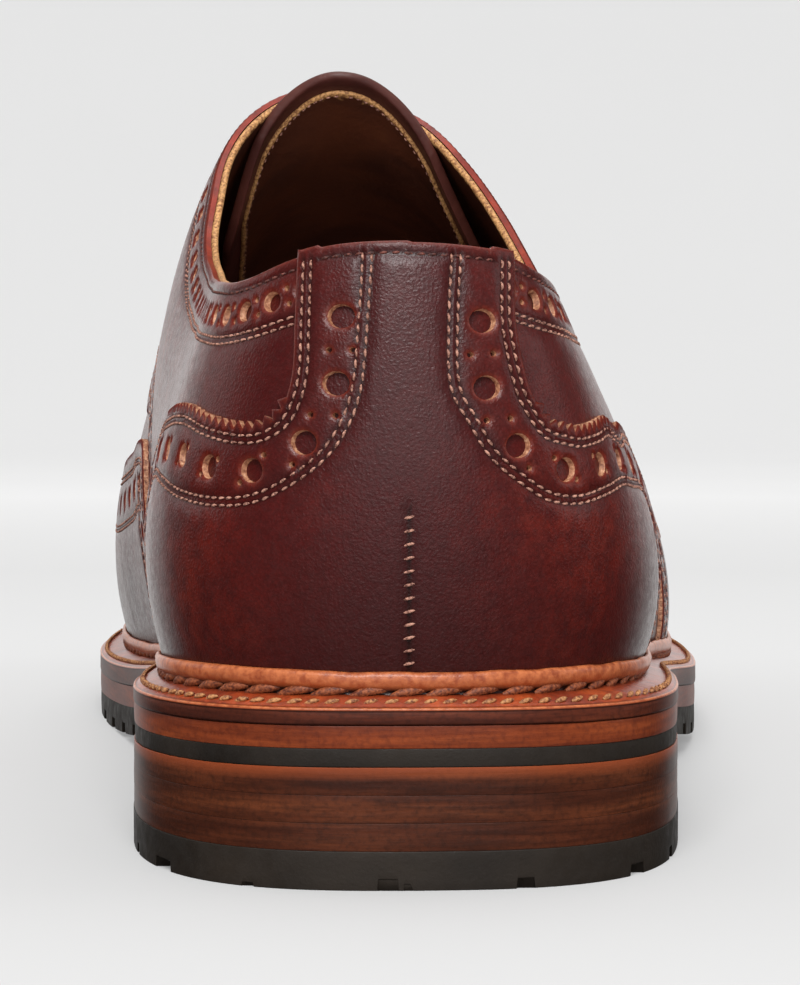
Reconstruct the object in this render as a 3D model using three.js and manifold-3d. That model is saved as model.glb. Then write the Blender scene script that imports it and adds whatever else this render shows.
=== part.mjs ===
// A right-foot, open-laced full-brogue leather shoe with a storm welt, as an assembly of its pieces.
// Local frame while it is built: y = 0 at the back of the heel, +Y to the toe, +X to the outer side,
// z = 0 on the ground.  The group at the end moves the origin under the middle of the whole shoe.
import * as THREE from 'three';
import Module from 'manifold-3d';

const wasm = await Module();
wasm.setup();

// ---------------------------------------------------------------- driving dimensions (mm)
const GAP = 0.4;              // clearance between neighbouring pieces
const LINING = [0, 0.9];      // distance of each layer's two faces from the last
const STIFFENER = [1.4, 2.1];
const UPPER = [2.7, 4.0];
const WELT_DROP = 1.3;        // welt top below the feather line
const WELT_THICK = [2.2, 3.4];     // heel, forepart
const MIDSOLE_THICK = [2.8, 3.7];
const RUBBER_THICK = [2.3, 4.9];
const THICKEN_FROM = 40;      // y where the sole layers start to thicken
const THICKEN_TO = 150;
const FLANGE = [8.4, 11];     // welt edge beyond the feather line: heel, forepart
const FLANGE_FROM = 60;
const FLANGE_TO = 150;
const LIP = [4.6, 6.1];       // storm lip's two faces, from the last
const LIP_RISE = 3.2;
const WELT_RECESS = 0.6;         // under the upper's turned-in edge
const BREAST_Y = 72;          // front of the heel
const TOP_LIFT_HEIGHT = 4.8;
const LIFT_COUNT = 3;
const NOTCH = { width: 2.6, depth: 5, height: 2 };
const NAIL_RADIUS = 1.1;
const INSOLE_THICK = 1.6;
const SOCK_THICK = 1.2;
const RIB = { outside: -5.6, inside: -7.4, drop: 1.5 };   // in from the feather line; top below the insole
const THROAT = 0.95;          // v of the facing edge, short of the ridge
const EYELETS = 5;
const EYELET = { bore: 2.1, barrel: 2.7, flange: 3.6, hole: 3.1, rim: 0.6, sides: 8 };
// The tongue reaches from u = base to u = tip and from v = edge to the ridge; it narrows to the seam at
// its base, between u = taper and u = base, so that it can fold there.
const TONGUE = {
  base: 7.45, tip: 5.3, edge: 0.64, round: 0.3, taper: 6.7, seam: 0.88,
  thick: 1.6, lining: 0.8, sink: 0.7, tuck: 3,
};
const EYELET_ROW = { first: 5.45, pitch: 0.33, below: 0.1 };

// ---------------------------------------------------------------- the last
// Twenty columns go round the foot, from the back of the heel (0) along the inner side to the toe (10)
// and back along the outer side.  Each is a cubic: feather line, two shoulders, ridge.
const COLUMNS = [
  [[0, 8], [0, -3, 52], [0, 6, 84], [0, 14, 108]],
  [[-17, 10], [-22, 4, 52], [-14, 12, 84], [-8, 20, 108]],
  [[-28, 27], [-36, 25, 50], [-20, 29, 78], [-10, 36, 110]],
  [[-30, 55], [-42, 55, 48], [-20, 58, 74], [-8, 62, 114]],
  [[-30, 85], [-44, 88, 50], [-25, 86, 88], [-4, 90, 121]],
  [[-30, 115], [-45, 118, 47], [-33, 114, 113], [-8, 105, 122]],
  [[-36, 147], [-52, 148, 45], [-38, 140, 97], [-9, 132, 101]],
  [[-44, 180], [-58, 180, 46], [-39, 168, 77], [-8, 165, 81]],
  [[-48, 215], [-58, 215, 44], [-28, 205, 60], [-7, 204, 63]],
  [[-41, 262], [-46, 266, 42], [-22, 246, 51], [-6, 236, 55]],
  [[-8, 307], [-8, 312, 38], [-7, 286, 47], [-6, 250, 52]],
  [[28, 276], [30, 282, 38], [10, 252, 50], [-6, 236, 55]],
  [[43, 238], [47, 240, 36], [14, 208, 59], [-7, 204, 63]],
  [[47, 200], [54, 200, 36], [20, 172, 74], [-8, 165, 81]],
  [[44, 165], [54, 165, 36], [18, 142, 94], [-9, 132, 101]],
  [[39, 130], [50, 132, 35], [11, 113, 112], [-8, 105, 122]],
  [[33, 98], [46, 98, 42], [14, 90, 81], [-4, 90, 121]],
  [[30, 62], [43, 62, 44], [12, 62, 68], [1, 66, 114]],
  [[27, 29], [36, 27, 46], [14, 31, 74], [4, 38, 110]],
  [[16, 11], [22, 4, 52], [13, 13, 82], [7, 20, 106]],
];
const AROUND = COLUMNS.length;
const TOE = AROUND / 2;
const FEATHER_HEIGHT = [[-10, 24.2], [40, 22.8], [75, 21.2], [110, 18.2], [150, 14.2], [185, 12.6],
  [215, 12.6], [240, 13.4], [265, 15.2], [290, 18.2], [320, 23]];
const TOPLINE_INNER = [[6, 79.8], [25, 78], [45, 76.5], [68, 76.5], [85, 80], [95, 86], [102, 92.5],
  [110, 99], [116, 105], [123, 113], [126, 400]];
const TOPLINE_OUTER = [[6, 79.8], [25, 77.5], [45, 75.5], [68, 74.5], [85, 77.5], [95, 82], [102, 87],
  [110, 94], [116, 101], [123, 112], [126, 400]];

// Straight-line interpolation in a list of [x, y] points.
function along(points, x) {
  if (x <= points[0][0]) return points[0][1];
  for (let i = 1; i < points.length; i += 1) {
    const [x0, y0] = points[i - 1];
    const [x1, y1] = points[i];
    if (x <= x1) return y0 + (y1 - y0) * (x - x0) / (x1 - x0);
  }
  return points[points.length - 1][1];
}

function smooth(from, to, x) {
  return THREE.MathUtils.smoothstep(x, from, to);
}

function wrap(u) {
  return ((u % AROUND) + AROUND) % AROUND;
}

// The matching place on the inner side, 0 at the heel to TOE.
function inward(u) {
  return Math.min(wrap(u), AROUND - wrap(u));
}

// A point of the last: a uniform B-spline around the foot, a Bezier curve up the side.
function last(u, v) {
  const at = wrap(u);
  const column = Math.floor(at);
  const f = at - column;
  const around = [(1 - f) ** 3, 3 * f ** 3 - 6 * f ** 2 + 4, -3 * f ** 3 + 3 * f ** 2 + 3 * f + 1, f ** 3];
  const up = [(1 - v) ** 3, 3 * v * (1 - v) ** 2, 3 * v * v * (1 - v), v ** 3];
  const point = new THREE.Vector3();
  for (let i = 0; i < 4; i += 1) {
    const [feather, ...rails] = COLUMNS[(column - 1 + i + AROUND) % AROUND];
    const controls = [[...feather, along(FEATHER_HEIGHT, feather[1])], ...rails];
    controls.forEach((c, j) => {
      point.addScaledVector(new THREE.Vector3(...c), around[i] * up[j] / 6);
    });
  }
  return point;
}

// The normal is taken just short of the ridge, where the columns of the toe run together.
function lastNormal(u, v) {
  const step = 1e-3;
  const at = Math.min(v, 0.97);
  const across = last(u + step, at).sub(last(u - step, at));
  const upward = last(u, at + step).sub(last(u, Math.max(at - step, 0)));
  return upward.cross(across).normalize();
}

// The feather line in plan: a point and the outward direction.
function feather(u) {
  const step = 1e-3;
  const tangent = last(u + step, 0).sub(last(u - step, 0));
  return { point: last(u, 0), outward: new THREE.Vector3(-tangent.y, tangent.x, 0).normalize() };
}

// v at which the last reaches the topline, or the facing edge where there is no topline.
function toplineV(u) {
  const points = wrap(u) <= TOE ? TOPLINE_INNER : TOPLINE_OUTER;
  let low = 0.4;
  let high = THROAT;
  const above = (v) => {
    const p = last(u, v);
    return p.z > along(points, p.y);
  };
  if (!above(high)) return high;
  for (let i = 0; i < 24; i += 1) {
    const middle = (low + high) / 2;
    if (above(middle)) high = middle;
    else low = middle;
  }
  return low;
}

// Stations around the foot that every layer shares, closer together round the toe and at the
// steep seam in front of the heel foxing.
const SIDE_STEP = 0.25;
const TOE_STEP = 0.125;
const TOE_SPAN = 1.5;
const SEAM = 2.75;
const SEAM_SPAN = 0.2;
function stations(from, to) {
  const list = [from];
  const tooClose = 0.06;
  let u = Math.floor(from / TOE_STEP) * TOE_STEP;
  while (u < to - tooClose) {
    const fine = Math.abs(wrap(u) - TOE) < TOE_SPAN || Math.abs(inward(u) - SEAM) < SEAM_SPAN;
    const onGrid = fine || Math.abs(u / SIDE_STEP - Math.round(u / SIDE_STEP)) < 1e-9;
    if (u > from + tooClose && onGrid) list.push(u);
    u += TOE_STEP;
  }
  list.push(to);
  return list;
}

// Heights up the side that every layer shares, so that their facets lie parallel.
const RISE_STEP = 0.125;
function levels(from, to) {
  const list = [from];
  const tooClose = 0.03;
  for (let k = Math.ceil(from / RISE_STEP); k * RISE_STEP < to - tooClose; k += 1) {
    if (k * RISE_STEP > from + tooClose) list.push(k * RISE_STEP);
  }
  list.push(to);
  return list;
}

// ---------------------------------------------------------------- solids
// Collects vertices (merged where they coincide) and triangles for a thin piece on the last.
class Skin {
  constructor() {
    this.keys = new Map();
    this.middle = [];
    this.places = [];
    this.normals = [];
    this.triangles = [];
  }

  vertex(u, v) {
    const p = last(u, v);
    const key = [p.x, p.y, p.z].map((c) => Math.round(c * 500)).join();
    if (!this.keys.has(key)) {
      this.keys.set(key, this.middle.length);
      this.middle.push(p);
      this.places.push(v);
      this.normals.push(new THREE.Vector3());
    }
    const index = this.keys.get(key);
    this.normals[index].add(lastNormal(u, v));
    return index;
  }

  triangle(a, b, c) {
    if (a !== b && b !== c && c !== a) this.triangles.push([a, b, c]);
  }

  // A strip of the last between v = low(u) and v = high(u).
  strip(us, low, high) {
    const columns = us.map((u) => levels(low(u), high(u)).map((v) => ({ v, index: this.vertex(u, v) })));
    for (let i = 1; i < us.length; i += 1) this.zip(columns[i - 1], columns[i]);
    return this;
  }

  // Triangles between two neighbouring columns of vertices, which may differ in number.
  zip(left, right) {
    let i = 0;
    let j = 0;
    while (i < left.length - 1 || j < right.length - 1) {
      const leftNext = i < left.length - 1 ? left[i + 1].v : Infinity;
      const rightNext = j < right.length - 1 ? right[j + 1].v : Infinity;
      if (leftNext < rightNext) {
        this.triangle(left[i].index, right[j].index, left[i + 1].index);
        i += 1;
      } else {
        this.triangle(left[i].index, right[j].index, right[j + 1].index);
        j += 1;
      }
    }
  }

  // The closed solid between two distances from the last; `sink` draws it in further at some heights.
  solid([inside, outside], sink = () => 0) {
    const count = this.middle.length;
    const points = [];
    for (const distance of [inside, outside]) {
      this.middle.forEach((p, i) => {
        const depth = distance - sink(this.places[i]);
        points.push(p.clone().addScaledVector(this.normals[i].clone().normalize(), depth));
      });
    }
    const edges = new Set(this.triangles.flatMap(([a, b, c]) => [`${a},${b}`, `${b},${c}`, `${c},${a}`]));
    const faces = [];
    for (const [a, b, c] of this.triangles) {
      faces.push([a + count, b + count, c + count], [c, b, a]);
      for (const [p, q] of [[a, b], [b, c], [c, a]]) {
        if (!edges.has(`${q},${p}`)) faces.push([q + count, p + count, p], [q + count, p, q]);
      }
    }
    return closed(points, faces);
  }
}

// A geometry from points and faces, turned so that its faces point outward.
function closed(points, faces) {
  let volume = 0;
  for (const [a, b, c] of faces) volume += points[a].dot(points[b].clone().cross(points[c]));
  const index = volume > 0 ? faces.flat() : faces.flatMap(([a, b, c]) => [c, b, a]);
  const geometry = new THREE.BufferGeometry();
  geometry.setAttribute('position', new THREE.Float32BufferAttribute(points.flatMap((p) => p.toArray()), 3));
  geometry.setIndex(index);
  return geometry;
}

// A solid swept along rings of points; each ring is the same closed section at the next station.
function sweep(rings, closeLoop) {
  const size = rings[0].length;
  const faces = [];
  const steps = closeLoop ? rings.length : rings.length - 1;
  for (let i = 0; i < steps; i += 1) {
    const here = i * size;
    const next = ((i + 1) % rings.length) * size;
    for (let j = 0; j < size; j += 1) {
      const k = (j + 1) % size;
      faces.push([here + j, next + j, next + k], [here + j, next + k, here + k]);
    }
  }
  if (!closeLoop) {
    const end = (rings.length - 1) * size;
    for (let j = 1; j < size - 1; j += 1) {
      faces.push([0, j, j + 1], [end, end + j + 1, end + j]);
    }
  }
  return closed(rings.flat(), faces);
}

function toManifold(geometry) {
  const vertProperties = new Float32Array(geometry.getAttribute('position').array);
  const triVerts = new Uint32Array(geometry.getIndex().array);
  return new wasm.Manifold(new wasm.Mesh({ numProp: 3, vertProperties, triVerts }));
}

function fromManifold(solid) {
  const mesh = solid.getMesh();
  const geometry = new THREE.BufferGeometry();
  geometry.setAttribute('position', new THREE.BufferAttribute(mesh.vertProperties, 3));
  geometry.setIndex(new THREE.BufferAttribute(mesh.triVerts, 1));
  return geometry;
}

function cut(geometry, tools) {
  let solid = toManifold(geometry);
  for (const tool of tools) solid = solid.subtract(toManifold(tool));
  return fromManifold(solid);
}

// A turned solid from a closed profile of [radius, height], with its axis along `direction`.
function turned(profile, segments, position, direction) {
  const rings = [];
  for (let i = 0; i < segments; i += 1) {
    const angle = 2 * Math.PI * i / segments;
    rings.push(profile.map(([r, h]) => new THREE.Vector3(r * Math.cos(angle), r * Math.sin(angle), h)));
  }
  const geometry = sweep(rings, true);
  const turn = new THREE.Quaternion().setFromUnitVectors(new THREE.Vector3(0, 0, 1), direction);
  return geometry.applyQuaternion(turn).translate(position.x, position.y, position.z);
}

function rod(radius, from, to, segments) {
  const length = to.clone().sub(from).length();
  const direction = to.clone().sub(from).normalize();
  const faces = [];
  const points = [];
  for (let i = 0; i < segments; i += 1) {
    const angle = 2 * Math.PI * i / segments;
    points.push(new THREE.Vector3(radius * Math.cos(angle), radius * Math.sin(angle), 0));
    points.push(new THREE.Vector3(radius * Math.cos(angle), radius * Math.sin(angle), length));
    const [a, b] = [2 * i, 2 * ((i + 1) % segments)];
    faces.push([a, b, b + 1], [a, b + 1, a + 1]);
    if (i > 0 && i < segments - 1) faces.push([0, b, a], [1, a + 1, b + 1]);
  }
  const turn = new THREE.Quaternion().setFromUnitVectors(new THREE.Vector3(0, 0, 1), direction);
  return closed(points, faces).applyQuaternion(turn).translate(from.x, from.y, from.z);
}

// ---------------------------------------------------------------- upper
// Pattern lines as v for each u on the inner side; the outer side mirrors them about the ridge.
const FOXING_EDGE = [[0.5, 0.47], [0.62, 0.385], [0.9, 0.335], [1.3, 0.325], [1.8, 0.345], [2.3, 0.36],
  [2.5, 0.35], [2.625, 0.25], [2.75, 0.14], [2.875, 0.04]];
const QUARTER_BACK = 0.56;
const FOXING_FRONT = 2.875;
const QUARTER_LOW = [[0.56, 0.5], [0.68, 0.405], [0.92, 0.35], [1.3, 0.34], [1.8, 0.36], [2.3, 0.375],
  [2.5, 0.365], [2.625, 0.3], [2.75, 0.194], [2.875, 0.09], [3, 0.02], [5.44, 0.02], [5.47, 0.355],
  [5.95, 0.39], [6.25, 0.5], [6.6, 0.66], [7.0, 0.83], [7.3, 0.9]];
const QUARTER_FRONT = 7.3;
const VAMP_BACK = 5.52;
const VAMP_HIGH = [[5.52, 0.35], [6.0, 0.375], [6.32, 0.485], [6.67, 0.645], [7.07, 0.815], [7.36, 0.885],
  [7.5, 1]];
const WING_EDGE = [[5.52, 0.32], [6.2, 0.34], [7.2, 0.365], [8.0, 0.45], [8.5, 0.6], [8.75, 0.78],
  [8.97, 1]];
const WING_BACK = 5.52;
const VAMP_TOE = 8.92;
const VAMP_LOW = [[5.52, 0.34], [6.2, 0.36], [7.2, 0.385], [8.0, 0.47], [8.5, 0.625], [8.72, 0.8],
  [8.88, 0.95], [8.92, 0.96]];
// The vamp lining runs under the quarter linings' front edges along this line.
const VAMP_LINING_BACK = [[6.3, 0.5], [7.3, 0.88], [7.45, 1]];
const QUARTER_LINING_LOW = [[6.27, 0.505], [7.3, 0.9]];
const COUNTER = { reach: 3.8, height: 0.42 };
const PUFF_BACK = 8.8;

// The same line read from either side of the foot.
function mirrored(line) {
  return (u) => along(line, inward(u));
}

function flip(us) {
  return us.map((u) => AROUND - u).reverse();
}

const TO_RIDGE = () => 1;
const FEATHER = () => 0;
const HEM = () => 0.02;

function heelFoxing() {
  const edge = mirrored(FOXING_EDGE);
  const panel = 0.45;
  const high = (u) => (Math.abs(u) <= panel ? toplineV(u) : edge(u));
  const bends = [panel, 0.5, 0.62, 0.75];
  const half = [...stations(0, panel), ...bends.slice(1), ...stations(0.9, FOXING_FRONT)];
  const us = [...half.slice(1).map((u) => -u).reverse(), ...half];
  return new Skin().strip(us, HEM, high).solid(UPPER);
}

function quarter(inner) {
  const low = mirrored(QUARTER_LOW);
  const bends = [...stations(QUARTER_BACK, 5.44), ...stations(5.47, QUARTER_FRONT)];
  const us = inner ? bends : flip(bends);
  const geometry = new Skin().strip(us, low, toplineV).solid(UPPER);
  return cut(geometry, eyeletPlaces(inner).map((place) => eyeletHole(place)));
}

function vamp() {
  const low = mirrored(VAMP_LOW);
  const high = mirrored(VAMP_HIGH);
  const us = [...stations(VAMP_BACK, 7.36), ...stations(7.5, VAMP_TOE)];
  return new Skin().strip(us, low, high).strip(flip(us), low, high).solid(UPPER);
}

function toeCap() {
  const edge = mirrored(WING_EDGE);
  const us = [...stations(WING_BACK, 8.88), ...stations(8.97, TOE)];
  return new Skin().strip(us, HEM, edge).strip(flip(us), HEM, edge).solid(UPPER);
}

function heelCounter() {
  const high = (u) => COUNTER.height * (1 - 0.35 * smooth(2.4, COUNTER.reach, Math.abs(u)));
  return new Skin().strip(stations(-COUNTER.reach, COUNTER.reach), FEATHER, high).solid(STIFFENER);
}

function toePuff() {
  const us = stations(PUFF_BACK, TOE);
  return new Skin().strip(us, FEATHER, TO_RIDGE).strip(flip(us), FEATHER, TO_RIDGE).solid(STIFFENER);
}

function vampLining() {
  const us = stations(7.45, TOE);
  const back = [6.3, ...stations(6.5, 7.45)];
  const high = mirrored(VAMP_LINING_BACK);
  return new Skin().strip(back, FEATHER, high).strip(us, FEATHER, TO_RIDGE)
    .strip(flip(us), FEATHER, TO_RIDGE).strip(flip(back), FEATHER, high).solid(LINING);
}

// Its foot reaches from the heel grip to the vamp lining; its front point runs on above the vamp lining.
function quarterLining(inner) {
  const side = (us) => (inner ? us : flip(us));
  const foot = side(stations(0.75, 6.22));
  const point = side(stations(6.27, 7.2));
  const join = side([6.22, 6.27]);
  const rise = mirrored([[6.22, 0], ...QUARTER_LINING_LOW]);
  const skin = new Skin();
  skin.strip(foot, FEATHER, toplineV).strip(join, rise, toplineV).strip(point, rise, toplineV);
  return cut(skin.solid(LINING), eyeletPlaces(inner).map((place) => eyeletHole(place)));
}

function heelGrip() {
  return new Skin().strip(stations(-0.65, 0.65), FEATHER, toplineV).solid(LINING);
}

// Reinforcing strip behind the eyelets, between the quarter and its lining.
function facingStay(inner) {
  const us = stations(5.35, 6.95);
  const [deep, shallow] = [0.17, 0.02];
  const low = (u) => toplineV(u) - deep;
  const high = (u) => toplineV(u) - shallow;
  const geometry = new Skin().strip(inner ? us : flip(us), low, high).solid(STIFFENER);
  return cut(geometry, eyeletPlaces(inner).map((place) => eyeletHole(place)));
}

// ---------------------------------------------------------------- eyelets
function eyeletPlaces(inner) {
  return Array.from({ length: EYELETS }, (_, i) => {
    const u = EYELET_ROW.first + EYELET_ROW.pitch * i;
    const v = THROAT - EYELET_ROW.below;
    const at = inner ? u : AROUND - u;
    return { point: last(at, v), normal: lastNormal(at, v) };
  });
}

function eyeletHole({ point, normal }) {
  const from = point.clone().addScaledVector(normal, -EYELET.hole);
  const to = point.clone().addScaledVector(normal, 3 * EYELET.hole);
  return rod(EYELET.hole, from, to, EYELET.sides);
}

function eyelet({ point, normal }) {
  const { bore, barrel, flange: brim, rim } = EYELET;
  const bottom = 0.3;
  const under = UPPER[1] + GAP;
  const top = under + rim;
  const profile = [[bore, bottom], [barrel, bottom], [barrel, under],
    [brim, under], [brim, top], [bore, top]];
  return turned(profile, EYELET.sides, point, normal);
}

// ---------------------------------------------------------------- tongue
// v of the tongue's side edge: its tip is round and its base narrow.
function tongueEdge(u, trim) {
  const at = inward(u);
  const edge = TONGUE.edge + trim;
  const [from, to] = [TONGUE.tip - TONGUE.round, TONGUE.tip + TONGUE.round];
  const tip = THREE.MathUtils.lerp(THROAT, edge, smooth(from, to, at));
  const base = THREE.MathUtils.lerp(edge, TONGUE.seam, smooth(TONGUE.taper, TONGUE.base, at));
  return Math.max(tip, base);
}

// The tongue lies just inside the last's ridge and draws in further towards its edges.
function tongueLayer(faces, trim) {
  const fromRidge = (v) => (1 - v) / (1 - TONGUE.edge);
  const sink = (v) => TONGUE.sink + TONGUE.tuck * fromRidge(v) ** 2;
  const us = stations(TONGUE.tip + trim, TONGUE.base - trim / 2);
  const low = (u) => tongueEdge(u, trim);
  return new Skin().strip(us, low, TO_RIDGE).strip(flip(us), low, TO_RIDGE).solid(faces, sink);
}

// ---------------------------------------------------------------- bottom
function layer([heel, forepart], y) {
  return heel + (forepart - heel) * smooth(THICKEN_FROM, THICKEN_TO, y);
}

function flange(y) {
  return FLANGE[0] + (FLANGE[1] - FLANGE[0]) * smooth(FLANGE_FROM, FLANGE_TO, y);
}

// Heights of the sole's layers at one place of the feather line.
function heights(p) {
  const weltTop = p.z - WELT_DROP;
  const weltBottom = weltTop - layer(WELT_THICK, p.y);
  const midsoleBottom = weltBottom - layer(MIDSOLE_THICK, p.y);
  const rubberBottom = Math.max(midsoleBottom - layer(RUBBER_THICK, p.y), 0);
  return { weltTop, weltBottom, midsoleBottom, rubberBottom };
}

// A flat-lying piece built as rungs from the inner side to the outer side, between two heights.
function ladder(rungs, reach, high, low) {
  const rings = rungs.map(([inner, outer]) => {
    const ends = [inner, outer].map((u) => {
      const { point, outward } = feather(u);
      return point.clone().addScaledVector(outward, reach(point.y));
    });
    const mark = [inner, outer].map((u) => feather(u).point);
    return [
      new THREE.Vector3(ends[0].x, ends[0].y, high(mark[0])),
      new THREE.Vector3(ends[1].x, ends[1].y, high(mark[1])),
      new THREE.Vector3(ends[1].x, ends[1].y, low(mark[1])),
      new THREE.Vector3(ends[0].x, ends[0].y, low(mark[0])),
    ];
  });
  return sweep(rings, false);
}

// Rungs pair the two sides of the foot at the same distance from the toe.
const END_RUNG = 0.12;
function rungs(from, to) {
  return stations(from, to).map((u) => [u, AROUND - u]);
}

const WHOLE = () => rungs(END_RUNG, TOE - END_RUNG / 2);

function insole() {
  return ladder(WHOLE(), () => -GAP, (p) => p.z - GAP, (p) => p.z - GAP - INSOLE_THICK);
}

function sockLiner() {
  return ladder(rungs(0.4, TOE - 0.3), () => -3.4, (p) => p.z + SOCK_THICK, (p) => p.z);
}

function midsole() {
  const sole = ladder(WHOLE(), flange, (p) => heights(p).weltBottom - GAP, (p) => heights(p).midsoleBottom);
  return cut(sole, [shank(GAP)]);
}

function rubberSole() {
  return ladder(WHOLE(), flange, (p) => heights(p).midsoleBottom - GAP, (p) => heights(p).rubberBottom);
}

// The welt runs right round: a flange outside the upper and a lip that stands against it.
function welt() {
  const us = stations(0, AROUND).slice(0, -1);
  const rings = us.map((u) => {
    const { point, outward } = feather(u);
    const { weltTop, weltBottom } = heights(point);
    const edge = point.clone().addScaledVector(outward, flange(point.y));
    const inside = point.clone().addScaledVector(outward, GAP);
    const root = point.clone().addScaledVector(outward, LIP[1] + 0.6);
    const rise = LIP_RISE / (last(u, 0.1).z - point.z) * 0.1;
    const lip = LIP.map((d) => last(u, rise).addScaledVector(lastNormal(u, rise), d));
    const foot = last(u, 0).addScaledVector(lastNormal(u, 0), LIP[0]);
    const at = (p, z) => new THREE.Vector3(p.x, p.y, z);
    const recess = weltTop - WELT_RECESS;
    return [at(edge, weltTop), at(edge, weltBottom), at(inside, weltBottom), at(inside, recess),
      at(foot, recess), lip[0], lip[1], at(root, weltTop)];
  });
  return sweep(rings, true);
}

// The rib that the welt is sewn to, under the insole's edge.
function insoleRib() {
  const us = stations(0, AROUND).slice(0, -1).filter((u) => Number.isInteger(u * 4));
  const rings = us.map((u) => {
    const { point, outward } = feather(u);
    const top = point.z - RIB.drop - INSOLE_THICK;
    const bottom = heights(point).weltBottom;
    const at = (d, z) => point.clone().addScaledVector(outward, d).setZ(z);
    return [at(RIB.outside, top), at(RIB.outside, bottom), at(RIB.inside, bottom), at(RIB.inside, top)];
  });
  return sweep(rings, true);
}

// ---------------------------------------------------------------- heel
function heelBoundary(u) {
  const { point, outward } = feather(u);
  return point.clone().addScaledVector(outward, flange(point.y));
}

// u on each side where the sole's edge passes the heel breast.
function breastU(side) {
  let low = 2;
  let high = 5;
  for (let i = 0; i < 30; i += 1) {
    const middle = (low + high) / 2;
    if (heelBoundary(side * middle).y > BREAST_Y) high = middle;
    else low = middle;
  }
  return side * low;
}

function heelRungs() {
  const inner = breastU(1);
  const outer = breastU(-1);
  const steps = 14;
  return Array.from({ length: steps + 1 }, (_, i) => {
    const t = END_RUNG / inner + (1 - END_RUNG / inner) * i / steps;
    return [inner * t, outer * t];
  });
}

function heelLift(index) {
  const roof = (p) => heights(p).rubberBottom - GAP;
  const floor = TOP_LIFT_HEIGHT + GAP;
  const level = (p, share) => floor + (roof(p) - floor) * share;
  return ladder(heelRungs(), flange, (p) => level(p, (index + 1) / LIFT_COUNT),
    (p) => level(p, index / LIFT_COUNT) + (index > 0 ? GAP : 0));
}

// The rubber top-lift, with square notches cut in the lower edge of its tread.
function heelTopLift() {
  const block = ladder(heelRungs(), flange, () => TOP_LIFT_HEIGHT, () => 0);
  const notches = [];
  for (const u of [-2.6, -1.7, -0.9, 0, 0.9, 1.7, 2.6]) {
    const { point, outward } = feather(u);
    const centre = point.clone().addScaledVector(outward, flange(point.y) - NOTCH.depth / 2 + 1);
    const box = new THREE.BoxGeometry(NOTCH.depth + 2, NOTCH.width, NOTCH.height * 2);
    box.rotateZ(Math.atan2(outward.y, outward.x)).translate(centre.x, centre.y, 0);
    notches.push(boxSolid(box));
  }
  return cut(block, notches);
}

// A BoxGeometry with its corners shared between faces.
function boxSolid(box) {
  const position = box.getAttribute('position');
  const keys = new Map();
  const points = [];
  const corner = Array.from({ length: position.count }, (_, i) => {
    const p = new THREE.Vector3().fromBufferAttribute(position, i);
    const key = p.toArray().map((c) => c.toFixed(3)).join();
    if (!keys.has(key)) {
      keys.set(key, points.length);
      points.push(p);
    }
    return keys.get(key);
  });
  const index = box.getIndex().array;
  const faces = [];
  for (let i = 0; i < index.length; i += 3) {
    faces.push([corner[index[i]], corner[index[i + 1]], corner[index[i + 2]]]);
  }
  return closed(points, faces);
}

// ---------------------------------------------------------------- assembly
const COLOURS = {
  leather: { color: 0x4a130d, roughness: 0.35, metalness: 0 },
  lining: { color: 0xb07a3c, roughness: 0.7, metalness: 0 },
  board: { color: 0x8a6a4a, roughness: 0.85, metalness: 0 },
  welt: { color: 0x8c4015, roughness: 0.5, metalness: 0 },
  stack: { color: 0x5a3018, roughness: 0.5, metalness: 0 },
  rubber: { color: 0x2a2724, roughness: 0.8, metalness: 0 },
  steel: { color: 0x8a8c90, roughness: 0.35, metalness: 1 },
  brass: { color: 0x8a6a35, roughness: 0.35, metalness: 1 },
  cork: { color: 0xa98254, roughness: 0.95, metalness: 0 },
};

const shoe = new THREE.Group();
const parts = new THREE.Group();
shoe.add(parts);

function add(name, finish, geometry) {
  geometry.computeVertexNormals();
  const mesh = new THREE.Mesh(geometry, new THREE.MeshStandardMaterial(COLOURS[finish]));
  mesh.name = name;
  parts.add(mesh);
}

// The hollow inside the welt, under the insole, holds the shank at the waist and the cork filler.
const FILLER = { from: 5.6, to: 9.2, reach: -8 };
const SHANK = { from: 1.6, to: 5.3, halfWidth: 8, thick: 1.2 };

function corkFiller() {
  return ladder(rungs(FILLER.from, FILLER.to), () => FILLER.reach, (p) => p.z - 3 * GAP - INSOLE_THICK,
    (p) => heights(p).weltBottom);
}

// `extra` widens the bar all round, for the groove that it lies in.
function shank(extra) {
  const rings = stations(SHANK.from - extra / 20, SHANK.to + extra / 20).map((u) => {
    const left = feather(u).point;
    const right = feather(AROUND - u).point;
    const centre = left.clone().add(right).multiplyScalar(0.5);
    const top = centre.z - 2 * GAP - INSOLE_THICK + extra;
    const depth = SHANK.thick + 2 * extra;
    return [[-1, 0], [1, 0], [1, -depth], [-1, -depth]].map(
      ([side, z]) => new THREE.Vector3(centre.x + side * (SHANK.halfWidth + extra), centre.y, top + z),
    );
  });
  return sweep(rings, false);
}

// Nails stand in the stack; each hole in a lift clears its nail.
const NAIL_SPOTS = [[-22, 26], [22, 26], [-23, 54], [23, 54], [0, 16]];
const NAIL_LOW = TOP_LIFT_HEIGHT + 1.4;
const NAIL_HIGH = 12;
const NAIL_SIDES = 8;
function nail([x, y], extra) {
  const foot = new THREE.Vector3(x, y, NAIL_LOW - extra);
  const head = new THREE.Vector3(x, y, NAIL_HIGH + extra);
  return rod(NAIL_RADIUS + extra, foot, head, NAIL_SIDES);
}

function nailedLift(index) {
  return cut(heelLift(index), NAIL_SPOTS.map((spot) => nail(spot, GAP)));
}

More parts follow.
